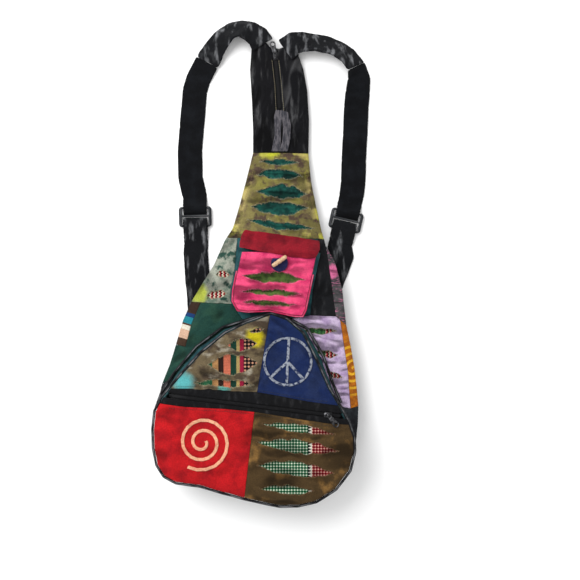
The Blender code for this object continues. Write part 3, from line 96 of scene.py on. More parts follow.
# %% [markdown]
# ## Layers of cloth
# The bag's front, the big pocket and the small pocket are three height fields.
# Rays from above find the top cloth in each cell and the facets of the solids are smoothed away.
# Then folds, sewn valleys and lifted slit lips are added.
# Everything sewn on a layer then moves with it, so cloth, backing, badge and thread keep their order.

# %% Height fields
CELL = 0.0015
REACH = 10  # cells looked at round each cell for a seam or a slit
BACKING = 100  # the owner of a cell where a slit shows the cloth below
FILL_ROUNDS = 40
FACET_ROUNDS = 50  # rounds of averaging that take the facets away
SEAM_DEPTH = 0.0011
SEAM_REACH = 0.0022
LIP_RISE = 0.0010
BACKING_DROP = 0.0003
PUCKER = 0.0005
ABOVE = 0.3  # height from which rays are cast down
DOWN = Vector((0, 0, -1))
LAYERS = {
    "front": (
        (
            "neck_front_left", "neck_front_right", "yellow_panel", "grey_green_panel", "dark_green_panel",
            "left_edge_patches", "centre_panel", "black_panel", "ruffle_panel", "lavender_panel",
            "orange_panel", "lower_front_panel",
        ),
        ("upper_slit_backing", "left_slit_backing", "lavender_slit_backing"),
    ),
    "pocket": (
        (
            "pocket_striped_patch",
            "pocket_navy_patch",
            "pocket_red_patch",
            "pocket_brown_patch",
            "pocket_zip_tape_upper",
            "pocket_zip_tape_lower",
        ),
        ("striped_slit_backing", "brown_slit_backing"),
    ),
    "small": (("small_pocket_front",), ("small_pocket_backing",)),
}
# Fold height, length, width in metres, and the angle that the folds run at
FOLDS = {
    "neck_front_left": (0.0026, 0.060, 0.013, 78),
    "neck_front_right": (0.0024, 0.050, 0.014, 70),
    "yellow_panel": (0.0022, 0.050, 0.013, 6),
    "grey_green_panel": (0.0016, 0.030, 0.014, 20),
    "dark_green_panel": (0.0014, 0.030, 0.014, 35),
    "left_edge_patches": (0.0008, 0.020, 0.008, 60),
    "centre_panel": (0.0010, 0.030, 0.014, 0),
    "black_panel": (0.0014, 0.030, 0.012, 70),
    "ruffle_panel": (0.0026, 0.034, 0.0055, -8),
    "lavender_panel": (0.0028, 0.034, 0.0050, -5),
    "orange_panel": (0.0010, 0.026, 0.010, 60),
    "lower_front_panel": (0.0008, 0.030, 0.012, 30),
    "pocket_striped_patch": (0.0020, 0.040, 0.014, 8),
    "pocket_navy_patch": (0.0015, 0.036, 0.016, -35),
    "pocket_red_patch": (0.0014, 0.040, 0.018, 30),
    "pocket_brown_patch": (0.0022, 0.055, 0.014, -8),
    "pocket_zip_tape_upper": (0.0006, 0.024, 0.008, -6),
    "pocket_zip_tape_lower": (0.0006, 0.024, 0.008, -6),
    "small_pocket_front": (0.0024, 0.045, 0.0075, -5),
}


def filled_in(field, rounds):
    """Empty cells take the mean of their neighbours, a ring at a time."""
    for _ in range(rounds):
        empty = np.isnan(field)
        if not empty.any():
            break
        known = np.where(empty, 0.0, field)
        weight = (~empty).astype(float)
        total = np.zeros_like(known)
        count = np.zeros_like(known)
        for axis in (0, 1):
            for step in (-1, 1):
                total += np.roll(known, step, axis)
                count += np.roll(weight, step, axis)
        new = empty & (count > 0)
        field = np.where(new, total / np.maximum(count, 1), field)
    return np.where(np.isnan(field), np.nanmean(field), field)


def softened(field, rounds):
    for _ in range(rounds):
        for axis in (0, 1):
            field = (np.roll(field, 1, axis) + 2 * field + np.roll(field, -1, axis)) / 4
    return field


def nearest_other(owner, other):
    """Distance in metres from each cell to the nearest one for which other() holds, up to the reach."""
    found = np.full(owner.shape, REACH * CELL)
    for dy in range(-REACH, REACH + 1):
        for dx in range(-REACH, REACH + 1):
            away = math.hypot(dx, dy) * CELL
            if away == 0 or away > REACH * CELL:
                continue
            moved = np.roll(np.roll(owner, dy, 0), dx, 1)
            found = np.where(other(owner, moved) & (found > away), away, found)
    return found


class Layer:
    def __init__(self, panels, backings, seed):
        verts = []
        faces = []
        owners = []
        for index, name in enumerate(panels + backings):
            mesh = nodes[name].data
            base = len(verts)
            verts += [v.co.copy() for v in mesh.vertices]
            faces += [[base + v for v in p.vertices] for p in mesh.polygons]
            owners += [index if name in panels else BACKING] * len(mesh.polygons)
        tree = BVHTree.FromPolygons(verts, faces)
        corners = np.array([tuple(v) for v in verts])
        pad = (REACH + 2) * CELL
        self.x0, self.y0 = corners[:, :2].min(axis=0) - pad
        x1, y1 = corners[:, :2].max(axis=0) + pad
        xs = np.arange(self.x0, x1, CELL)
        ys = np.arange(self.y0, y1, CELL)
        top = np.full((len(ys), len(xs)), np.nan)
        owner = np.full(top.shape, -1)
        for j, y in enumerate(ys):
            for i, x in enumerate(xs):
                place, _, face, _ = tree.ray_cast(Vector((x, y, ABOVE)), DOWN)
                if face is not None:
                    owner[j, i] = owners[face]
                    if owners[face] != BACKING:
                        top[j, i] = place.z
        self.top = filled_in(top, FILL_ROUNDS)
        gx, gy = np.meshgrid(xs, ys)
        seam = nearest_other(owner, lambda a, b: (a != b) & (a != BACKING) & (b != BACKING))
        lip = nearest_other(owner, lambda a, b: (a == BACKING) != (b == BACKING))
        wave = np.full_like(self.top, np.nan)
        for index, name in enumerate(panels):
            here = owner == index
            wave[here] = folds(gx, gy, *FOLDS[name], seed + 11 * index)[here]
        wave = filled_in(wave, FILL_ROUNDS)
        ease = 1 - 0.75 * np.exp(-((seam / 0.005) ** 2))
        sewn = -SEAM_DEPTH * np.exp(-((seam / SEAM_REACH) ** 2))
        raised = np.where(owner == BACKING, -BACKING_DROP, LIP_RISE * np.exp(-((lip / 0.0030) ** 2)))
        pucker = PUCKER * noise(gx / 0.0042, gy / 0.0042, seed + 5) * np.exp(-(((seam - 0.004) / 0.004) ** 2))
        near = np.exp(-((lip / 0.0075) ** 2))
        wide = 0.0021 * noise(gx / 0.0095, gy / 0.011, seed + 9)
        fine = 0.0008 * noise(gx / 0.0036, gy / 0.006, seed + 10)
        self.sway = near * (wide + fine)
        smooth = softened(self.top.copy(), FACET_ROUNDS)
        self.moved = smooth - self.top + softened(wave * ease + sewn + raised + pucker, 1)
        self.fields = {
            "seam": seam * 1000,
            "lip": np.exp(-((lip / 0.0022) ** 2)),
            "fold": softened(wave * 1000, 1),
        }

    def sample(self, field, x, y):
        fx = np.clip((np.asarray(x) - self.x0) / CELL, 0, field.shape[1] - 1.001)
        fy = np.clip((np.asarray(y) - self.y0) / CELL, 0, field.shape[0] - 1.001)
        i = fx.astype(int)
        j = fy.astype(int)
        u = fx - i
        v = fy - j
        low = field[j, i] * (1 - u) + field[j, i + 1] * u
        high = field[j + 1, i] * (1 - u) + field[j + 1, i + 1] * u
        return low * (1 - v) + high * v

    def surface(self, x, y):
        return self.sample(self.top + self.moved, x, y)


layers = {}
for number, (title, (panels, backings)) in enumerate(LAYERS.items()):
    layers[title] = Layer(panels, backings, 100 * number)
    print("layer", title, layers[title].top.shape)

# %% [markdown]
# ## From solids to fine meshes
# A solid's long edges are split until the mesh is fine enough to fold, and its outline keeps its corners,
# which a Subdivision modifier would round.
# Cloth moves with its layer; cords, walls and straps are rounded by averaging each point with its neighbours.

# %% Fine meshes


def refined(name, size):
    """A bmesh of the solid with no edge much longer than size."""
    bm = bmesh.new()
    bm.from_mesh(nodes[name].data)
    for layer in list(bm.loops.layers.uv.values()):
        bm.loops.layers.uv.remove(layer)
    bmesh.ops.remove_doubles(bm, verts=bm.verts[:], dist=1e-6)
    bmesh.ops.triangulate(bm, faces=bm.faces[:])
    for _ in range(7):
        long = [e for e in bm.edges if e.calc_length() > size]
        if not long:
            break
        bmesh.ops.subdivide_edges(bm, edges=long, cuts=1)
        bmesh.ops.triangulate(bm, faces=[f for f in bm.faces if len(f.verts) > 3])
    return bm


def positions(mesh):
    co = np.empty(len(mesh.vertices) * 3)
    mesh.vertices.foreach_get("co", co)
    return co.reshape(-1, 3)


def shown(name, data):
    obj = bpy.data.objects.new(name, data)
    bpy.context.scene.collection.objects.link(obj)
    return obj


def kept(mesh, title, values):
    """A value for each point, which the shaders read by its title."""
    data = mesh.attributes.new(title, "FLOAT", "POINT").data
    data.foreach_set("value", values.astype(np.float32))


def finished(bm, name, smooth_angle=50):
    bmesh.ops.recalc_face_normals(bm, faces=bm.faces[:])
    mesh = bpy.data.meshes.new(name)
    bm.to_mesh(mesh)
    bm.free()
    mesh.shade_smooth()
    mesh.set_sharp_from_angle(angle=math.radians(smooth_angle))
    return shown(name + "_look", mesh)


def dressed(obj, node, material, body="bag"):
    obj.data.materials.clear()
    obj.data.materials.append(material)
    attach(obj, body)
    if node:
        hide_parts(node)


def laid(name, layer, size):
    """A sheet or badge that moves with its layer, with the seam, lip and fold values kept as attributes."""
    obj = finished(refined(name, size), name)
    mesh = obj.data
    co = positions(mesh)
    field = layers[layer]
    for title, values in field.fields.items():
        kept(mesh, title, field.sample(values, co[:, 0], co[:, 1]))
    co[:, 2] += field.sample(field.moved, co[:, 0], co[:, 1])
    co[:, 1] += field.sample(field.sway, co[:, 0], co[:, 1])
    mesh.vertices.foreach_set("co", co.ravel())
    mesh.update()
    return obj


RIPPLE_LENGTH = 0.012
ALL_AXES = {"use_axis_x": True, "use_axis_y": True, "use_axis_z": True}


def rounded(name, size, rounds, ripple):
    """A cord, wall or strap with its facets averaged away and a slight ripple."""
    bm = refined(name, size)
    for _ in range(rounds):
        bmesh.ops.smooth_vert(bm, verts=bm.verts[:], factor=0.4, **ALL_AXES)
    obj = finished(bm, name, 70)
    mesh = obj.data
    co = positions(mesh)
    normals = np.array([tuple(v.normal) for v in mesh.vertices])
    x, y, z = (co / RIPPLE_LENGTH).T
    lift = ripple * noise(x + z, y, len(name))
    kept(mesh, "fold", lift * 1000)
    kept(mesh, "seam", np.full(len(co), 15.0))
    co += normals * lift[:, None]
    low = positions(nodes[name].data)[:, 2].min()
    co[:, 2] = np.maximum(co[:, 2], low)
    mesh.vertices.foreach_set("co", co.ravel())
    mesh.update()
    return obj


# %% [markdown]
# ## Shader pieces
# Each cloth is a Principled shader with a woven bump.
# Its dye is mixed from noise, position and the values kept from the folds, and the fold and seam values also
# paint shade into the valleys and highlight onto the tops of the folds.
# The weave is a node group, so every cloth shares one thread pattern at its own pitch.

# %% Shader helpers


def rgb(r, g, b):
    """sRGB from 0 to 255 as the linear colour that the shader takes."""
    made = []
    for value in (r, g, b):
        share = value / 255
        made.append(share / 12.92 if share <= 0.04045 else ((share + 0.055) / 1.055) ** 2.4)
    return (*made, 1.0)


def weave_group():
    group = bpy.data.node_groups.new("Plain weave", "ShaderNodeTree")
    group.interface.new_socket("Vector", in_out="INPUT", socket_type="NodeSocketVector")
    group.interface.new_socket("Threads per metre", in_out="INPUT", socket_type="NodeSocketFloat")
    group.interface.new_socket("Height", in_out="OUTPUT", socket_type="NodeSocketFloat")
    new = group.nodes.new
    link = group.links.new
    source = new("NodeGroupInput")
    end = new("NodeGroupOutput")
    split = new("ShaderNodeSeparateXYZ")
    link(source.outputs["Vector"], split.inputs[0])

    def maths(operation, first):
        node = new("ShaderNodeMath")
        node.operation = operation
        link(first, node.inputs[0])
        return node

    waves = []
    for axis in ("X", "Y"):
        scale = maths("MULTIPLY", split.outputs[axis])
        link(source.outputs["Threads per metre"], scale.inputs[1])
        turn = maths("MULTIPLY", scale.outputs[0])
        turn.inputs[1].default_value = math.pi
        waves.append(maths("SINE", turn.outputs[0]).outputs[0])
    both = maths("MULTIPLY", waves[0])
    link(waves[1], both.inputs[1])
    link(both.outputs[0], end.inputs["Height"])
    return group


WEAVE = weave_group()
print("nodes in the weave", len(WEAVE.nodes))


class Look:
    """A material under construction, with short names for the nodes used most."""

    def __init__(self, name, rough=0.88, metal=0.0):
        self.material = bpy.data.materials.new(name)
        self.material.use_nodes = True
        tree = self.material.node_tree
        tree.nodes.clear()
        self.new = tree.nodes.new
        self.link = tree.links.new
        out = self.new("ShaderNodeOutputMaterial")
        self.shader = self.new("ShaderNodeBsdfPrincipled")
        self.shader.inputs["Roughness"].default_value = rough
        self.shader.inputs["Metallic"].default_value = metal
        self.link(self.shader.outputs[0], out.inputs[0])
        self.place = self.new("ShaderNodeTexCoord").outputs["Object"]
        split = self.new("ShaderNodeSeparateXYZ")
        self.link(self.place, split.inputs[0])
        self.x, self.y = split.outputs[0], split.outputs[1]

    def put(self, value, socket):
        if isinstance(value, bpy.types.NodeSocket):
            self.link(value, socket)
        else:
            socket.default_value = value

    def math(self, operation, a, b=0.0, c=None):
        node = self.new("ShaderNodeMath")
        node.operation = operation
        self.put(a, node.inputs[0])
        self.put(b, node.inputs[1])
        if c is not None:
            self.put(c, node.inputs[2])
        return node.outputs[0]

    def noise(self, size, detail=3.0, stretch=(1, 1, 1), turn=0.0):
        mapping = self.new("ShaderNodeMapping")
        mapping.inputs["Rotation"].default_value = (0, 0, math.radians(turn))
        mapping.inputs["Scale"].default_value = [s / size for s in stretch]
        self.link(self.place, mapping.inputs["Vector"])
        node = self.new("ShaderNodeTexNoise")
        node.inputs["Scale"].default_value = 1.0
        node.inputs["Detail"].default_value = detail
        node.inputs["Roughness"].default_value = 0.55
        self.link(mapping.outputs[0], node.inputs["Vector"])
        return node.outputs[0]

    def value(self, title):
        node = self.new("ShaderNodeAttribute")
        node.attribute_name = title
        return node.outputs["Fac"]

    def band(self, value, low, high, start=0.0, end=1.0):
        node = self.new("ShaderNodeMapRange")
        node.interpolation_type = "SMOOTHSTEP"
        self.put(value, node.inputs["Value"])
        node.inputs["From Min"].default_value = low
        node.inputs["From Max"].default_value = high
        node.inputs["To Min"].default_value = start
        node.inputs["To Max"].default_value = end
        return node.outputs[0]

    def mix(self, share, a, b):
        node = self.new("ShaderNodeMix")
        node.data_type = "RGBA"
        self.put(share, node.inputs[0])
        self.put(a, node.inputs[6])
        self.put(b, node.inputs[7])
        return node.outputs[2]

    def spot(self, x, y, inner, outer):
        """1 inside a round spot, fading to 0 at its outer radius, with an uneven edge."""
        dx = self.math("SUBTRACT", self.x, x)
        dy = self.math("SUBTRACT", self.y, y)
        square = self.math("ADD", self.math("MULTIPLY", dx, dx), self.math("MULTIPLY", dy, dy))
        away = self.math("SQRT", square)
        uneven = self.math("MULTIPLY", self.math("SUBTRACT", self.noise(0.012), 0.5), 0.012)
        return self.band(self.math("ADD", away, uneven), inner, outer, 1.0, 0.0)

    def stops(self, value, colours):
        """Hard-edged colours along a value from 0 to 1."""
        node = self.new("ShaderNodeValToRGB")
        node.color_ramp.interpolation = "CONSTANT"
        elements = node.color_ramp.elements
        while len(elements) > 1:
            elements.remove(elements[-1])
        elements[0].position = 0.0
        elements[0].color = colours[0][1]
        for position, colour in colours[1:]:
            elements.new(position).color = colour
        self.put(value, node.inputs[0])
        return node.outputs[0]

    def zigzag(self, pitch, height):
        """x with a triangle wave along y added, so that upright stripes turn to zigzags."""
        wave = self.math("PINGPONG", self.y, pitch)
        return self.math("ADD", self.x, self.math("MULTIPLY", wave, height / pitch))

    def diamonds(self, pitch, size=0.5):
        """1 inside diamonds of that size, 0 between them."""
        a = self.math("PINGPONG", self.x, pitch / 2)
        b = self.math("PINGPONG", self.y, pitch / 2)
        return self.band(self.math("ADD", a, b), pitch * (0.96 - size), pitch * (1.04 - size))

    def bump(self, height, strength, distance):
        node = self.new("ShaderNodeBump")
        node.inputs["Strength"].default_value = strength
        node.inputs["Distance"].default_value = distance
        self.link(height, node.inputs["Height"])
        return node

    def cloth(self, colour, threads=1500.0, relief=1.0, grain=0.12):
        """Woven bump, fibre fuzz and uneven tone over a colour, with painted shade in fold valleys and along
        seams.
        """
        black = (0.0, 0.0, 0.0, 1.0)
        fibres = self.band(self.noise(0.0014, 2.0), 0.35, 0.65, 0.14, 0.14 + grain * 2)
        shade = self.mix(fibres, colour, black)
        shade = self.mix(self.band(self.noise(0.018, 4.0), 0.40, 0.75, 0.0, grain * 1.6), shade, black)
        # Painted shade: the colour darkens towards black in the valleys of the folds.
        shade = self.mix(self.band(self.value("fold"), -1.5, -0.1, 0.62, 0.0), shade, black)
        # Painted shade: the colour darkens towards black along the sewn seams, where the cloth dips.
        shade = self.mix(self.band(self.value("seam"), 0.4, 2.0, 0.55, 0.0), shade, black)
        self.put(shade, self.shader.inputs["Base Color"])
        weave = self.new("ShaderNodeGroup")
        weave.node_tree = WEAVE
        self.link(self.place, weave.inputs["Vector"])
        weave.inputs["Threads per metre"].default_value = threads
        first = self.bump(weave.outputs[0], 0.45 * relief, 0.0002)
        second = self.bump(self.noise(0.006, 4.0), 0.6 * relief, 0.0012)
        self.link(first.outputs[0], second.inputs["Normal"])
        self.link(second.outputs[0], self.shader.inputs["Normal"])
        self.shader.inputs["Sheen Weight"].default_value = 0.03
        self.shader.inputs["Sheen Roughness"].default_value = 0.5
        self.shader.inputs["Specular IOR Level"].default_value = 0.08
        return self.material

    def plain(self, colour, relief=0.3, size=0.002):
        self.put(colour, self.shader.inputs["Base Color"])
        bump = self.bump(self.noise(size, 3.0), relief, 0.0004)
        self.link(bump.outputs[0], self.shader.inputs["Normal"])
        return self.material


BLACK = rgb(24, 24, 27)

# %% [markdown]
# ## Dyes and weaves
# Stonewashed cotton is palest on the tops of its folds, partly as wear from rubbing and partly as painted
# highlight.
# Tie-dye runs along borders and through the cloth in blots, and frayed slits show the undyed warp.

# %% Materials


def rubbed_and_lit(name, base, pale, low, high, streak, turn, share=0.8):
    """Dark cotton faded in fine streaks, and paler on the tops of its folds, partly as wear from rubbing and
    partly as painted highlight.
    """
    look = Look(name)
    # Painted highlight, partly wear from rubbing: the cloth is paler on the tops of its folds.
    lit_crest = look.band(look.value("fold"), low, high)
    fine = look.band(look.noise(0.010, 5.0, (1, 1 / streak, 1), turn), 0.50, 0.78)
    wear_and_highlight = look.math("MULTIPLY", look.math("MAXIMUM", look.math("MULTIPLY", lit_crest, 0.55), fine), share)
    return look.cloth(look.mix(wear_and_highlight, base, pale), 1300.0)


def lipped(look, colour, thread):
    """The cloth fades to its bare warp at a slit's lip."""
    ragged = look.math("MULTIPLY", look.value("lip"), look.band(look.noise(0.003), 0.3, 0.7, 0.45, 1.1))
    return look.mix(look.band(ragged, 0.35, 0.85), colour, thread)


def yellow_dye():
    look = Look("yellow_dyed_cotton")
    blots = look.noise(0.030, 5.0)
    inside = look.band(look.value("seam"), 4.0, 13.0)
    brown = look.math("MAXIMUM", look.math("MULTIPLY", inside, 0.85), look.band(blots, 0.43, 0.54))
    base = look.mix(look.band(look.noise(0.05), 0.4, 0.6), rgb(196, 198, 60), rgb(188, 172, 108))
    dark = look.mix(look.band(look.noise(0.012, 4.0), 0.42, 0.60), rgb(118, 110, 66), rgb(84, 68, 58))
    mixed = look.mix(brown, base, dark)
    rim = look.mix(look.band(look.noise(0.012), 0.42, 0.58), rgb(214, 208, 140), rgb(120, 92, 74))
    return look.cloth(lipped(look, mixed, rim), 1300.0)


def dyed(name, first, second, size, low, high, thread=None, threads=1500.0, stretch=(1, 1, 1)):
    look = Look(name)
    colour = look.mix(look.band(look.noise(size, 5.0, stretch), low, high), first, second)
    if thread:
        colour = lipped(look, colour, thread)
    return look.cloth(colour, threads)


def grey_green():
    look = Look("grey_green_cotton")
    base = look.mix(look.band(look.noise(0.022, 5.0), 0.42, 0.62), rgb(160, 164, 150), rgb(100, 118, 104))
    base = look.mix(look.band(look.noise(0.016, 4.0), 0.52, 0.64), base, rgb(46, 76, 66))
    base = look.mix(look.spot(-0.113, -0.006, 0.010, 0.020), base, rgb(168, 178, 70))
    return look.cloth(lipped(look, base, rgb(214, 210, 196)), 1300.0)


def edge_strips():
    look = Look("left_edge_cotton")
    share = look.band(look.math("ADD", look.y, look.math("MULTIPLY", look.x, 0.25)), -0.125, -0.055)
    colours = [
        (0.0, rgb(70, 52, 40)),
        (0.10, rgb(214, 176, 150)),
        (0.36, rgb(228, 222, 204)),
        (0.52, rgb(84, 58, 42)),
        (0.58, rgb(36, 128, 142)),
        (0.80, rgb(28, 60, 110)),
        (0.90, rgb(58, 42, 34)),
    ]
    return look.cloth(look.stops(share, colours))


def gathered():
    look = Look("gathered_cotton")
    stripes = look.band(look.noise(0.012, 2.0, (1, 6, 1), -8), 0.56, 0.64)
    base = look.mix(look.band(look.noise(0.02, 5.0), 0.4, 0.65), rgb(92, 90, 92), rgb(58, 58, 62))
    base = look.mix(look.math("MULTIPLY", stripes, 0.6), base, rgb(226, 130, 172))
    base = look.mix(look.spot(0.1000, 0.0300, 0.006, 0.013), base, rgb(240, 122, 172))
    return look.cloth(base)


def orange_cloth():
    look = Look("orange_cotton")
    dx = look.math("SUBTRACT", look.x, 0.1325)
    dy = look.math("SUBTRACT", look.y, -0.1256)
    away = look.math("SQRT", look.math("ADD", look.math("MULTIPLY", dx, dx), look.math("MULTIPLY", dy, dy)))
    turn = look.math("MULTIPLY", look.math("ARCTAN2", dy, dx), 0.0110 / (2 * math.pi))
    ring = look.math("PINGPONG", look.math("ADD", away, turn), 0.0055)
    line = look.band(ring, 0.0032, 0.0038)
    base = look.mix(look.band(look.noise(0.012, 4.0), 0.4, 0.6), rgb(206, 120, 30), rgb(164, 92, 30))
    near = look.band(away, 0.032, 0.050, 1.0, 0.0)
    return look.cloth(look.mix(look.math("MULTIPLY", line, near), base, rgb(246, 186, 50)))


def striped():
    look = Look("striped_cotton")
    base = look.mix(look.band(look.noise(0.020, 5.0), 0.40, 0.62), rgb(112, 98, 74), rgb(74, 62, 50))
    base = look.mix(look.band(look.noise(0.026, 5.0, (1, 2, 1), 20), 0.52, 0.72), base, rgb(168, 160, 142))
    base = look.mix(look.spot(-0.0220, -0.0740, 0.008, 0.019), base, rgb(206, 190, 30))
    base = look.mix(look.spot(-0.1330, -0.1430, 0.008, 0.022), base, rgb(92, 176, 178))
    base = look.mix(look.spot(-0.0700, -0.1500, 0.004, 0.014), base, rgb(96, 170, 160))
    return look.cloth(lipped(look, base, rgb(176, 164, 130)))


def woven_stripes(name, low, high, colours, zig=0.0006):
    """Upright stripes, each with a zigzag of its darker shade, and black and cream lozenges at the end."""
    look = Look(name)
    across = look.band(look.zigzag(0.0011, zig), low, high)
    across.node.interpolation_type = "LINEAR"
    colour = look.stops(across, colours)
    teeth = look.math("PINGPONG", look.math("ADD", look.y, look.math("PINGPONG", look.x, 0.0016)), 0.0012)
    colour = look.mix(look.band(teeth, 0.0005, 0.0007, 0.0, 0.45), colour, (0.004, 0.003, 0.003, 1.0))
    end = look.mix(look.diamonds(0.0058, 0.36), rgb(24, 20, 22), rgb(206, 150, 120))
    colour = look.mix(look.math("GREATER_THAN", look.x, -0.0400), colour, end)
    return look.cloth(colour, 900.0, 1.4)


def repeating(name, pitch, colours, zig):
    """Upright zigzag stripes that repeat."""
    look = Look(name)
    across = look.math("FRACT", look.math("DIVIDE", look.zigzag(0.0022, zig), pitch))
    return look.cloth(look.stops(across, colours), 900.0, 1.4)


def brown_weave():
    look = Look("brown_slit_weave")
    pale = look.diamonds(0.0046, 0.34)
    between = look.diamonds(0.0046, 0.66)
    cream = rgb(222, 224, 206)
    left = look.mix(pale, look.mix(between, rgb(16, 26, 22), rgb(42, 120, 78)), cream)
    right = look.mix(pale, look.mix(between, rgb(70, 12, 20), rgb(150, 32, 40)), rgb(226, 176, 160))
    teeth = look.math("PINGPONG", look.y, 0.0024)
    edge = look.math("SUBTRACT", look.x, 0.0600)
    past = look.math("GREATER_THAN", look.math("MULTIPLY", teeth, 2.4), edge)
    bars = look.mix(past, rgb(232, 230, 214), rgb(20, 20, 22))
    middle = look.mix(look.math("GREATER_THAN", look.x, 0.0660), bars, right)
    return look.cloth(look.mix(look.math("GREATER_THAN", look.x, 0.0599), left, middle), 900.0, 1.4)


def lavender_weave():
    look = Look("lavender_slit_weave")
    fract = look.math("FRACT", look.math("DIVIDE", look.zigzag(0.0022, 0.0020), 0.0060))
    red = look.stops(fract, [(0.0, rgb(160, 30, 42)), (0.4, rgb(24, 22, 24)), (0.8, rgb(214, 200, 180))])
    green = look.stops(fract, [(0.0, rgb(60, 110, 60)), (0.5, rgb(40, 78, 48))])
    return look.cloth(look.mix(look.math("GREATER_THAN", look.x, 0.088), green, red), 900.0, 1.4)


def wood():
    look = Look("toggle_wood", 0.45)
    grain = look.noise(0.004, 6.0, (1, 5, 1), 35)
    colour = look.mix(look.band(grain, 0.35, 0.65), rgb(206, 174, 140), rgb(168, 130, 92))
    return look.plain(colour, 0.4, 0.0012)


def sheen_piping(name, base, streak):
    look = Look(name, 0.5)
    top = look.new("ShaderNodeNewGeometry")
    split = look.new("ShaderNodeSeparateXYZ")
    look.link(top.outputs["Normal"], split.inputs[0])
    # Painted highlight: the upward-facing top of the cord is mixed toward the paler streak colour.
    upward = look.band(split.outputs[2], 0.90, 0.99)
    lit_crest = look.math("MULTIPLY", upward, look.band(look.noise(0.020, 3.0), 0.40, 0.62))
    return look.cloth(look.mix(look.math("MULTIPLY", lit_crest, 0.55), base, streak), 1600.0)


def simple(name, colour, rough, metal=0.0, relief=0.2, second=None, gloss=0.5):
    look = Look(name, rough, metal)
    look.shader.inputs["Specular IOR Level"].default_value = gloss
    second = second or tuple(c * 0.8 for c in colour[:3]) + (1.0,)
    shade = look.mix(look.band(look.noise(0.004, 4.0), 0.4, 0.65), colour, second)
    return look.plain(shade, relief)


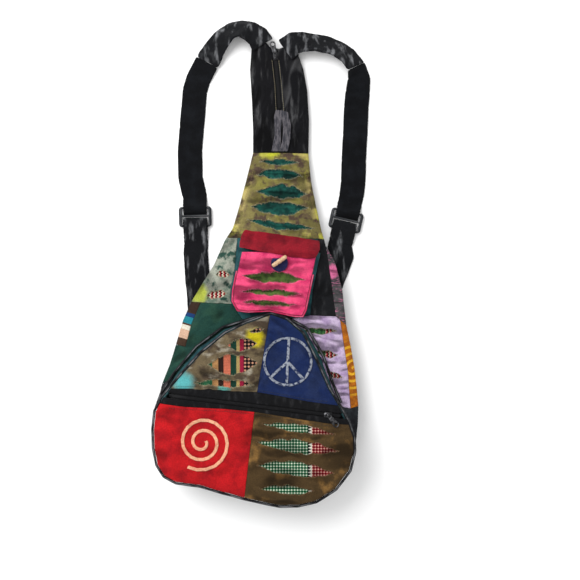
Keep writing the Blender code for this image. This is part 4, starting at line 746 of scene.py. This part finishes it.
M = {
    "neck": rubbed_and_lit("neck_cotton", rgb(20, 20, 23), rgb(120, 120, 122), 1.0, 2.3, 5.0, -75, 0.5),
    "black": rubbed_and_lit("black_cotton", rgb(26, 27, 30), rgb(84, 84, 86), 0.8, 2.0, 3.0, 20, 0.4),
    "band": rubbed_and_lit("zip_band_cotton", rgb(22, 22, 24), rgb(80, 80, 82), 0.5, 1.5, 3.0, 0, 0.35),
    "stone": rubbed_and_lit("stonewashed_cotton", rgb(22, 23, 26), rgb(168, 170, 174), 0.5, 1.5, 4.0, 60, 0.62),
    "webbing": dyed("black_webbing", rgb(13, 14, 17), rgb(20, 22, 26), 0.020, 0.4, 0.7, None, 700.0),
    "yellow": yellow_dye(),
    "teal_under": dyed("teal_lining", rgb(30, 88, 78), rgb(18, 56, 52), 0.010, 0.4, 0.65, None, 1100.0),
    "grey_green": grey_green(),
    "dark_green": dyed("dark_green_cotton", rgb(32, 66, 58), rgb(42, 76, 62), 0.020, 0.4, 0.66),
    "edge": edge_strips(),
    "ruffle": gathered(),
    "lavender": dyed(
        "lavender_cotton", rgb(222, 200, 232), rgb(186, 160, 202), 0.016, 0.4, 0.65, rgb(224, 212, 228)
    ),
    "orange": orange_cloth(),
    "lower": dyed("pocket_ground_cotton", rgb(34, 34, 38), rgb(52, 56, 60), 0.02, 0.4, 0.6),
    "striped": striped(),
    "navy": dyed("navy_cotton", rgb(26, 42, 86), rgb(38, 52, 92), 0.022, 0.42, 0.66),
    "red": dyed("red_cotton", rgb(202, 28, 34), rgb(168, 22, 30), 0.024, 0.42, 0.66),
    "brown": dyed(
        "brown_dyed_cotton", rgb(80, 62, 38), rgb(150, 112, 62), 0.030, 0.50, 0.72, rgb(134, 106, 74)
    ),
    "crimson": dyed("crimson_cotton", rgb(146, 26, 40), rgb(118, 20, 34), 0.020, 0.4, 0.66),
    "pink": dyed("pink_cotton", rgb(252, 84, 132), rgb(226, 58, 112), 0.020, 0.40, 0.66, rgb(255, 176, 196)),
    "olive": dyed("olive_cotton", rgb(92, 116, 56), rgb(66, 86, 44), 0.008, 0.4, 0.65, None, 1000.0),
    "teal_gusset": dyed("teal_cotton", rgb(44, 88, 92), rgb(26, 58, 66), 0.020, 0.4, 0.66),
    "navy_disc": dyed("disc_cotton", rgb(46, 46, 88), rgb(34, 36, 70), 0.008, 0.4, 0.66),
    "loop": dyed(
        "grey_loop_cotton", rgb(98, 95, 100), rgb(62, 62, 68), 0.0022, 0.45, 0.55, None, 900.0, (1, 0.15, 1)
    ),
    "peace": dyed("pale_grey_paint", rgb(160, 166, 178), rgb(34, 48, 88), 0.004, 0.46, 0.62),
    "salmon": dyed("salmon_paint", rgb(255, 192, 152), rgb(240, 160, 128), 0.006, 0.4, 0.66),
    "left_weave": repeating(
        "left_slit_weave",
        0.0066,
        [(0.0, rgb(170, 32, 40)), (0.34, rgb(26, 22, 24)), (0.64, rgb(222, 210, 188))],
        0.0022,
    ),
    "lavender_weave": lavender_weave(),
    "striped_weave": woven_stripes(
        "striped_slit_weave",
        -0.0960,
        -0.0200,
        [(0.0, rgb(58, 122, 84)), (0.10, rgb(214, 160, 104)), (0.22, rgb(56, 38, 32))]
        + [(0.33, rgb(232, 128, 98)), (0.47, rgb(30, 70, 56)), (0.59, rgb(196, 170, 108))]
        + [(0.66, rgb(176, 36, 70))],
    ),
    "brown_weave": brown_weave(),
    "piping": sheen_piping("piping_cotton", BLACK, rgb(150, 152, 156)),
    "pink_piping": sheen_piping("small_piping_cotton", rgb(206, 44, 92), rgb(250, 150, 180)),
    "nylon": simple("zip_nylon", rgb(16, 16, 18), 0.6, gloss=0.12),
    "plastic": simple("buckle_plastic", rgb(34, 36, 40), 0.42, gloss=0.3),
    "metal": simple("zip_metal", rgb(84, 84, 86), 0.36, 1.0, 0.3, rgb(40, 40, 42)),
    "wood": wood(),
    "cord": simple("toggle_cord_cotton", rgb(40, 40, 60), 0.85, 0.0, 0.6),
    "pale_thread": simple("pale_stitching", rgb(168, 160, 132), 0.8, 0.0, 0.5, gloss=0.1),
    "dark_thread": simple("dark_stitching", rgb(40, 38, 38), 0.8, 0.0, 0.5),
    "brown_thread": simple("brown_stitching", rgb(128, 98, 66), 0.8, 0.0, 0.5),
    "pink_thread": simple("pink_stitching", rgb(240, 110, 150), 0.8, 0.0, 0.5, gloss=0.1),
}
print("materials", len(M))

# %% [markdown]
# ## Cloth pieces
# Every panel, backing and badge moves with the layer it belongs to.
# A Displace modifier on each would be simpler, but neighbours would then part at their seams.

# %% Panels
SLOTS = {m.get("slot") for m in frame["record"].get("materials", [])}


def known(slot_name):
    return slot_name if slot_name in SLOTS else "black_cotton"


SHEETS = {
    "neck_front_left": ("front", "neck", "stonewashed_cotton"),
    "neck_front_right": ("front", "neck", "stonewashed_cotton"),
    "yellow_panel": ("front", "yellow", "yellow_dyed_cotton"),
    "grey_green_panel": ("front", "grey_green", "grey_green_cotton"),
    "dark_green_panel": ("front", "dark_green", "dark_green_cotton"),
    "left_edge_patches": ("front", "edge", "blue_cotton"),
    "centre_panel": ("front", "teal_gusset", "teal_cotton"),
    "black_panel": ("front", "black", "black_cotton"),
    "ruffle_panel": ("front", "ruffle", "gathered_cotton"),
    "lavender_panel": ("front", "lavender", "lavender_cotton"),
    "orange_panel": ("front", "orange", "orange_cotton"),
    "lower_front_panel": ("front", "lower", "black_cotton"),
    "upper_slit_backing": ("front", "teal_under", "teal_lining"),
    "left_slit_backing": ("front", "left_weave", "weave"),
    "lavender_slit_backing": ("front", "lavender_weave", "weave"),
    "pocket_striped_patch": ("pocket", "striped", "striped_cotton"),
    "pocket_navy_patch": ("pocket", "navy", "navy_cotton"),
    "pocket_red_patch": ("pocket", "red", "red_cotton"),
    "pocket_brown_patch": ("pocket", "brown", "brown_dyed_cotton"),
    "pocket_zip_tape_upper": ("pocket", "band", "black_cotton"),
    "pocket_zip_tape_lower": ("pocket", "band", "black_cotton"),
    "pocket_zip_backing_tape": ("pocket", "nylon", "zip_nylon"),
    "pocket_zip_coil": ("pocket", "nylon", "zip_nylon"),
    "striped_slit_backing": ("pocket", "striped_weave", "weave"),
    "brown_slit_backing": ("pocket", "brown_weave", "weave"),
    "peace_sign": ("pocket", "peace", "pale_stitching"),
    "spiral": ("pocket", "salmon", "salmon_stitching"),
    "small_pocket_front": ("small", "pink", "pink_cotton"),
    "small_pocket_backing": ("small", "olive", "olive_cotton"),
}
total = 0
for name, (layer, look, slot_name) in SHEETS.items():
    obj = laid(name, layer, 0.0016 if name in ("peace_sign", "spiral") else 0.0024)
    dressed(obj, name, M[look])
    total += len(obj.data.polygons)
print("cloth triangles", total)

# %% [markdown]
# ## Walls, cords and straps
# These are rounded, and the straps keep the folds that they have near the neck.

# %% Walls and straps
ROUND = {
    "back_panel": (0.006, 0, 0.0003, "black", "black_cotton"),
    "neck_back": (0.003, 2, 0.0006, "neck", "stonewashed_cotton"),
    "neck_zip_tape_left": (0.003, 0, 0.0, "nylon", "zip_nylon"),
    "neck_zip_tape_right": (0.003, 0, 0.0, "nylon", "zip_nylon"),
    "neck_zip_coil": (0.003, 0, 0.0, "nylon", "zip_nylon"),
    "neck_loop": (0.002, 2, 0.0003, "loop", "grey_cotton"),
    "side_gusset_left": (0.004, 3, 0.0008, "black", "black_cotton"),
    "side_gusset_right": (0.004, 3, 0.0008, "black", "black_cotton"),
    "bottom_gusset": (0.004, 3, 0.0008, "black", "black_cotton"),
    "pocket_gusset": (0.004, 2, 0.0006, "teal_gusset", "teal_cotton"),
    "small_pocket_gusset": (0.003, 2, 0.0004, "teal_gusset", "teal_cotton"),
    "pocket_piping": (0.0018, 3, 0.0002, "piping", "black_cotton"),
    "pocket_seam_piping": (0.0020, 3, 0.0002, "piping", "black_cotton"),
    "small_pocket_piping": (0.0014, 2, 0.0001, "pink_piping", "pink_cotton"),
    "small_pocket_flap": (0.0024, 3, 0.0007, "crimson", "crimson_cotton"),
    "toggle_disc": (0.0016, 1, 0.0002, "navy_disc", "navy_cotton"),
    "toggle_cord": (0.0010, 2, 0.0, "cord", "black_cotton"),
    "strap_top_left": (0.0026, 6, 0.0008, "stone", "stonewashed_cotton"),
    "strap_top_right": (0.0026, 6, 0.0008, "stone", "stonewashed_cotton"),
    "strap_webbing_left": (0.0028, 4, 0.0002, "webbing", "black_webbing"),
    "strap_webbing_right": (0.0028, 4, 0.0002, "webbing", "black_webbing"),
    "lower_strap_left": (0.0026, 3, 0.0005, "stone", "stonewashed_cotton"),
    "lower_strap_right": (0.0026, 3, 0.0005, "stone", "stonewashed_cotton"),
}
for name, (size, rounds, ripple, look, slot_name) in ROUND.items():
    obj = rounded(name, size, rounds, ripple)
    dressed(obj, name, M[look])
print("rounded pieces", len(ROUND))

# %% [markdown]
# ## Buckles, zip sliders and the toggle
# Moulded and cast pieces get a small bevel, so that their edges catch the light.

# %% Hard pieces
HARD = {
    "buckle_left": (0.0005, "plastic", "buckle_plastic", "bag"),
    "buckle_right": (0.0005, "plastic", "buckle_plastic", "bag"),
    "neck_zip_slider": (0.0002, "metal", "zip_metal", "neck_slider"),
    "neck_zip_pull": (0.0003, "metal", "zip_metal", "neck_pull"),
    "pocket_zip_slider": (0.0002, "metal", "zip_metal", "pocket_slider"),
    "pocket_zip_pull": (0.0003, "metal", "zip_metal", "pocket_pull"),
    "toggle": (0.0002, "wood", "toggle_wood", "toggle"),
}
for name, (width, look, slot_name, body) in HARD.items():
    bm = bmesh.new()
    bm.from_mesh(nodes[name].data)
    bmesh.ops.remove_doubles(bm, verts=bm.verts[:], dist=1e-6)
    bmesh.ops.dissolve_limit(bm, angle_limit=math.radians(1), verts=bm.verts[:], edges=bm.edges[:])
    sharp = [e for e in bm.edges if len(e.link_faces) == 2 and e.calc_face_angle(0) > math.radians(35)]
    bmesh.ops.bevel(bm, geom=sharp, offset=width, segments=2, affect="EDGES", clamp_overlap=True)
    bmesh.ops.triangulate(bm, faces=bm.faces[:])
    dressed(finished(bm, name, 40), name, M[look], body)
print("hard pieces", len(HARD))

# %% [markdown]
# ## Threads by Geometry Nodes
# One node group places a small thread on every point of a cloud of points.
# Each point carries the turn of its thread, and the group adds a seeded jitter of turn and size.
# Hair curves would do for the picture, but these threads are made as real meshes.

# %% Threads


def thread_group():
    group = bpy.data.node_groups.new("Threads on points", "GeometryNodeTree")
    face = group.interface
    for title, kind in (
        ("Geometry", "Geometry"),
        ("Piece", "Object"),
        ("Jitter", "Float"),
        ("Smallest", "Float"),
        ("Seed", "Int"),
        ("Material", "Material"),
    ):
        face.new_socket(title, in_out="INPUT", socket_type="NodeSocket" + kind)
    face.new_socket("Geometry", in_out="OUTPUT", socket_type="NodeSocketGeometry")
    new = group.nodes.new
    link = group.links.new
    source = new("NodeGroupInput")
    end = new("NodeGroupOutput")
    points = new("GeometryNodeMeshToPoints")
    info = new("GeometryNodeObjectInfo")
    stored = new("GeometryNodeInputNamedAttribute")
    stored.data_type = "FLOAT_VECTOR"
    stored.inputs["Name"].default_value = "turn"
    low = new("ShaderNodeVectorMath")
    low.operation = "SCALE"
    low.inputs[0].default_value = (-0.3, -0.3, -1.0)
    high = new("ShaderNodeVectorMath")
    high.operation = "SCALE"
    high.inputs[0].default_value = (0.3, 0.3, 1.0)
    shake = new("FunctionNodeRandomValue")
    shake.data_type = "FLOAT_VECTOR"
    added = new("ShaderNodeVectorMath")
    added.operation = "ADD"
    turned = new("FunctionNodeEulerToRotation")
    scale = new("FunctionNodeRandomValue")
    scale.data_type = "FLOAT"
    made = new("GeometryNodeInstanceOnPoints")
    real = new("GeometryNodeRealizeInstances")
    painted = new("GeometryNodeSetMaterial")
    link(source.outputs["Geometry"], points.inputs[0])
    link(source.outputs["Piece"], info.inputs[0])
    link(source.outputs["Jitter"], low.inputs["Scale"])
    link(source.outputs["Jitter"], high.inputs["Scale"])
    link(low.outputs[0], shake.inputs[0])
    link(high.outputs[0], shake.inputs[1])
    link(source.outputs["Seed"], shake.inputs["Seed"])
    link(source.outputs["Seed"], scale.inputs["Seed"])
    link(source.outputs["Smallest"], scale.inputs[2])
    scale.inputs[3].default_value = 1.0
    link(stored.outputs[0], added.inputs[0])
    link(shake.outputs[0], added.inputs[1])
    link(added.outputs[0], turned.inputs[0])
    link(points.outputs[0], made.inputs["Points"])
    link(info.outputs["Geometry"], made.inputs["Instance"])
    link(turned.outputs[0], made.inputs["Rotation"])
    link(scale.outputs[1], made.inputs["Scale"])
    link(made.outputs[0], real.inputs[0])
    link(real.outputs[0], painted.inputs[0])
    link(source.outputs["Material"], painted.inputs["Material"])
    link(painted.outputs[0], end.inputs[0])
    return group


THREADS = thread_group()


def thread_piece(name, length, radius, rise, start=0.0):
    """A tapered thread along +X that rises in its middle, kept out of the picture."""
    bm = bmesh.new()
    rings = []
    for step in range(6):
        share = step / 5
        taper = radius * (0.35 + 0.65 * math.sin(math.pi * (0.12 + 0.76 * share)))
        centre = Vector((start + length * share, 0, rise * math.sin(math.pi * share)))
        ring = []
        for k in range(5):
            angle = 2 * math.pi * k / 5
            ring.append(bm.verts.new(centre + Vector((0, math.cos(angle), math.sin(angle))) * taper))
        rings.append(ring)
    for one, two in zip(rings, rings[1:]):
        for k in range(5):
            bm.faces.new((one[k], one[(k + 1) % 5], two[(k + 1) % 5], two[k]))
    bm.faces.new(rings[0][::-1])
    bm.faces.new(rings[-1])
    bmesh.ops.recalc_face_normals(bm, faces=bm.faces[:])
    mesh = bpy.data.meshes.new(name)
    bm.to_mesh(mesh)
    bm.free()
    return bpy.data.objects.new(name, mesh)


def sewn(name, places, turns, piece, jitter, smallest, seed, look, slot_name):
    """Puts a thread on each place, then keeps the result as one plain mesh."""
    mesh = bpy.data.meshes.new(name)
    mesh.from_pydata([tuple(p) for p in places], [], [])
    data = mesh.attributes.new("turn", "FLOAT_VECTOR", "POINT").data
    data.foreach_set("vector", np.asarray(turns, np.float32).ravel())
    obj = shown(name, mesh)
    modifier = obj.modifiers.new("Threads", "NODES")
    modifier.node_group = THREADS
    values = {"Piece": piece, "Jitter": jitter, "Smallest": smallest, "Seed": seed, "Material": M[look]}
    for item in THREADS.interface.items_tree:
        if item.in_out == "INPUT" and item.name in values:
            modifier[item.identifier] = values[item.name]
    graph = bpy.context.evaluated_depsgraph_get()
    made = bpy.data.meshes.new_from_object(obj.evaluated_get(graph))
    obj.modifiers.clear()
    obj.data = made
    made.shade_smooth()
    obj.name = name + "_look"
    dressed(obj, None, M[look])


def slit_lips(name):
    """Points along every slit's lip of a panel, with the way into the slit."""
    bm = bmesh.new()
    bm.from_mesh(nodes[name].data)
    bmesh.ops.remove_doubles(bm, verts=bm.verts[:], dist=1e-6)
    bm.normal_update()
    rim = {}
    for edge in bm.edges:
        up = [f for f in edge.link_faces if f.normal.z > 0.3]
        if len(up) == 1:
            rim[edge] = up[0]
    loops = []
    left = dict.fromkeys(rim)
    while left:
        start = left.popitem()[0]
        chain = [start]
        queue = list(start.verts)
        while queue:
            vert = queue.pop()
            for edge in vert.link_edges:
                if edge in left:
                    del left[edge]
                    chain.append(edge)
                    queue += list(edge.verts)
        loops.append(chain)
    loops.sort(key=lambda chain: sum(e.calc_length() for e in chain))
    found = []
    for chain in loops[:-1]:
        for edge in chain:
            a, b = edge.verts[0].co.copy(), edge.verts[1].co.copy()
            along = (b - a).normalized()
            away = (a + b) / 2 - rim[edge].calc_center_median()
            away = away - along * away.dot(along)
            found.append((a, b, away.normalized()))
    bm.free()
    return found


FRAY = thread_piece("fray_thread", 0.0040, 0.00015, 0.0006, -0.0014)
STITCH = thread_piece("stitch_thread", 0.0026, 0.00028, 0.0004, -0.0013)
FRAYED = {
    "yellow_panel": ("front", "pale_thread", 0.0011),
    "grey_green_panel": ("front", "pale_thread", 0.0008),
    "lavender_panel": ("front", "pale_thread", 0.0012),
    "small_pocket_front": ("small", "pink_thread", 0.0014),
    "pocket_striped_patch": ("pocket", "pale_thread", 0.0012),
    "pocket_brown_patch": ("pocket", "brown_thread", 0.0012),
}
for seed, (name, (layer, look, spacing)) in enumerate(FRAYED.items()):
    field = layers[layer]
    places = []
    turns = []
    for a, b, away in slit_lips(name):
        steps = max(1, round((b - a).length / spacing))
        for k in range(steps):
            p = a.lerp(b, (k + 0.5) / steps)
            z = p.z + float(field.sample(field.moved, p.x, p.y)) + 0.0001
            places.append((p.x, p.y + float(field.sample(field.sway, p.x, p.y)), z))
            turns.append((0.0, 0.0, math.atan2(away.y, away.x)))
    sewn("fray_" + name, places, turns, FRAY, 1.0, 0.4, seed, look, known("pale_stitching"))
    print("fray", name, len(places))

# %% [markdown]
# ## Sewn lines
# Rows of stitches run a few millimetres inside the seams, over the folds.

# %% Stitches


def stitch_row(line, layer, spacing=0.0036):
    field = layers[layer]
    places = []
    turns = []
    left_over = 0.0
    for (ax, ay), (bx, by) in zip(line, line[1:]):
        length = math.hypot(bx - ax, by - ay)
        heading = math.atan2(by - ay, bx - ax)
        at = left_over
        while at < length:
            x = ax + (bx - ax) * at / length
            y = ay + (by - ay) * at / length
            places.append((x, y, float(field.surface(x, y)) + 0.0001))
            turns.append((0.0, 0.0, heading))
            at += spacing
        left_over = at - length
    return places, turns


ROWS = {
    "yellow_edge": (
        [(-0.0225, 0.214), (-0.0345, 0.165), (-0.0520, 0.112), (-0.0610, 0.092)],
        "front",
        "brown_thread",
    ),
    "yellow_edge_right": (
        [(0.0560, 0.213), (0.0610, 0.170), (0.0760, 0.104), (0.0850, 0.086)],
        "front",
        "brown_thread",
    ),
    "yellow_head": ([(-0.0220, 0.2150), (0.0560, 0.2140)], "front", "brown_thread"),
    "yellow_foot": ([(-0.0560, 0.0905), (0.0800, 0.0880)], "front", "brown_thread"),
    "zip_left": ([(0.0030, 0.3700), (0.0075, 0.3300), (0.0095, 0.2900)], "front", "pale_thread"),
    "zip_right": ([(0.0140, 0.3700), (0.0185, 0.3300), (0.0220, 0.2900)], "front", "pale_thread"),
    "band_head": (
        [(-0.1440, -0.1500), (-0.1170, -0.1495), (-0.0810, -0.1520), (-0.0190, -0.1550)]
        + [(0.0130, -0.1605), (0.0600, -0.1695), (0.0900, -0.1730)],
        "pocket",
        "dark_thread",
    ),
    "band_foot": (
        [(-0.1550, -0.1835), (-0.0670, -0.1880), (-0.0230, -0.1925)]
        + [(0.0370, -0.2020), (0.0840, -0.2095), (0.1150, -0.2130)],
        "pocket",
        "dark_thread",
    ),
}
for seed, (name, (line, layer, look)) in enumerate(ROWS.items()):
    places, turns = stitch_row(line, layer)
    sewn("stitches_" + name, places, turns, STITCH, 0.08, 0.9, 40 + seed, look, known("pale_stitching"))
print("stitch rows", len(ROWS))

# %% [markdown]
# ## Zip teeth
# The coil's turns lie across the zip at an even pitch.

# %% Zip teeth
TOOTH_PITCH = 0.0013
TOOTH = thread_piece("zip_tooth", 0.0044, 0.00026, 0.0001, -0.0022)
for name, a, b, layer, node in (
    ("neck_teeth", Vector((0.0089, 0.3680)), Vector((0.0158, 0.2930)), None, "neck_zip_coil"),
    ("pocket_teeth", Vector((-0.1290, -0.1671)), Vector((0.0840, -0.1927)), "pocket", "pocket_zip_coil"),
):
    coil = nodes[node].data
    tree = BVHTree.FromPolygons([v.co for v in coil.vertices], [p.vertices for p in coil.polygons])
    heading = math.atan2(b.y - a.y, b.x - a.x) + math.pi / 2
    steps = round((b - a).length / TOOTH_PITCH)
    places = []
    turns = []
    for k in range(steps + 1):
        p = a.lerp(b, k / steps)
        hit = tree.ray_cast(Vector((p.x, p.y, ABOVE)), DOWN)[0]
        if hit is None:
            continue
        lift = float(layers[layer].sample(layers[layer].moved, p.x, p.y)) if layer else 0.0
        places.append((p.x, p.y, hit.z + min(lift, 0.0) - 0.0001))
        turns.append((0.0, 0.0, heading))
    sewn(name, places, turns, TOOTH, 0.0, 1.0, 3, "nylon", known("zip_nylon"))
    print(name, len(places))

# %% [markdown]
# ## Studio
# A white floor, an even sky and one large soft lamp from the upper left.
# The camera stands straight above the bag, 1.6 m from the floor.

# %% Floor, light and camera
FLOOR_SIDE = 4.0
SKY = 0.86
LAMP_PLACE = Vector((-1.0, 0.9, 1.5))
LAMP_SIZE = 1.5
LAMP_WATTS = 40.0
CAMERA_PLACE = (0.032, 0.0, 1.6)
CAMERA_ANGLE = 32.93  # degrees across the picture


def studio():
    mesh = bpy.data.meshes.new("floor")
    corners = [(-1, -1), (1, -1), (1, 1), (-1, 1)]
    mesh.from_pydata([(x * FLOOR_SIDE, y * FLOOR_SIDE, 0) for x, y in corners], [], [(0, 1, 2, 3)])
    floor = shown("floor", mesh)
    paper = Look("white_paper", 0.9)
    paper.plain(paper.mix(paper.noise(0.05), (0.96, 0.96, 0.96, 1), (0.98, 0.98, 0.98, 1)), 0.05, 0.01)
    mesh.materials.append(paper.material)
    world = bpy.data.worlds.new("sky")
    world.use_nodes = True
    world.node_tree.nodes["Background"].inputs[0].default_value = (1, 1, 1, 1)
    world.node_tree.nodes["Background"].inputs[1].default_value = SKY
    bpy.context.scene.world = world
    lamp = bpy.data.lights.new("softbox", "AREA")
    lamp.shape = "SQUARE"
    lamp.size = LAMP_SIZE
    lamp.energy = LAMP_WATTS
    made = shown("softbox", lamp)
    made.location = LAMP_PLACE
    made.rotation_euler = (-LAMP_PLACE).to_track_quat("-Z", "Y").to_euler()
    lens = bpy.data.cameras.new("camera")
    lens.sensor_fit = "AUTO"
    lens.angle = math.radians(CAMERA_ANGLE)
    camera = shown("camera", lens)
    camera.location = CAMERA_PLACE
    bpy.context.scene.camera = camera
    bpy.context.scene.view_settings.view_transform = "Standard"


studio()
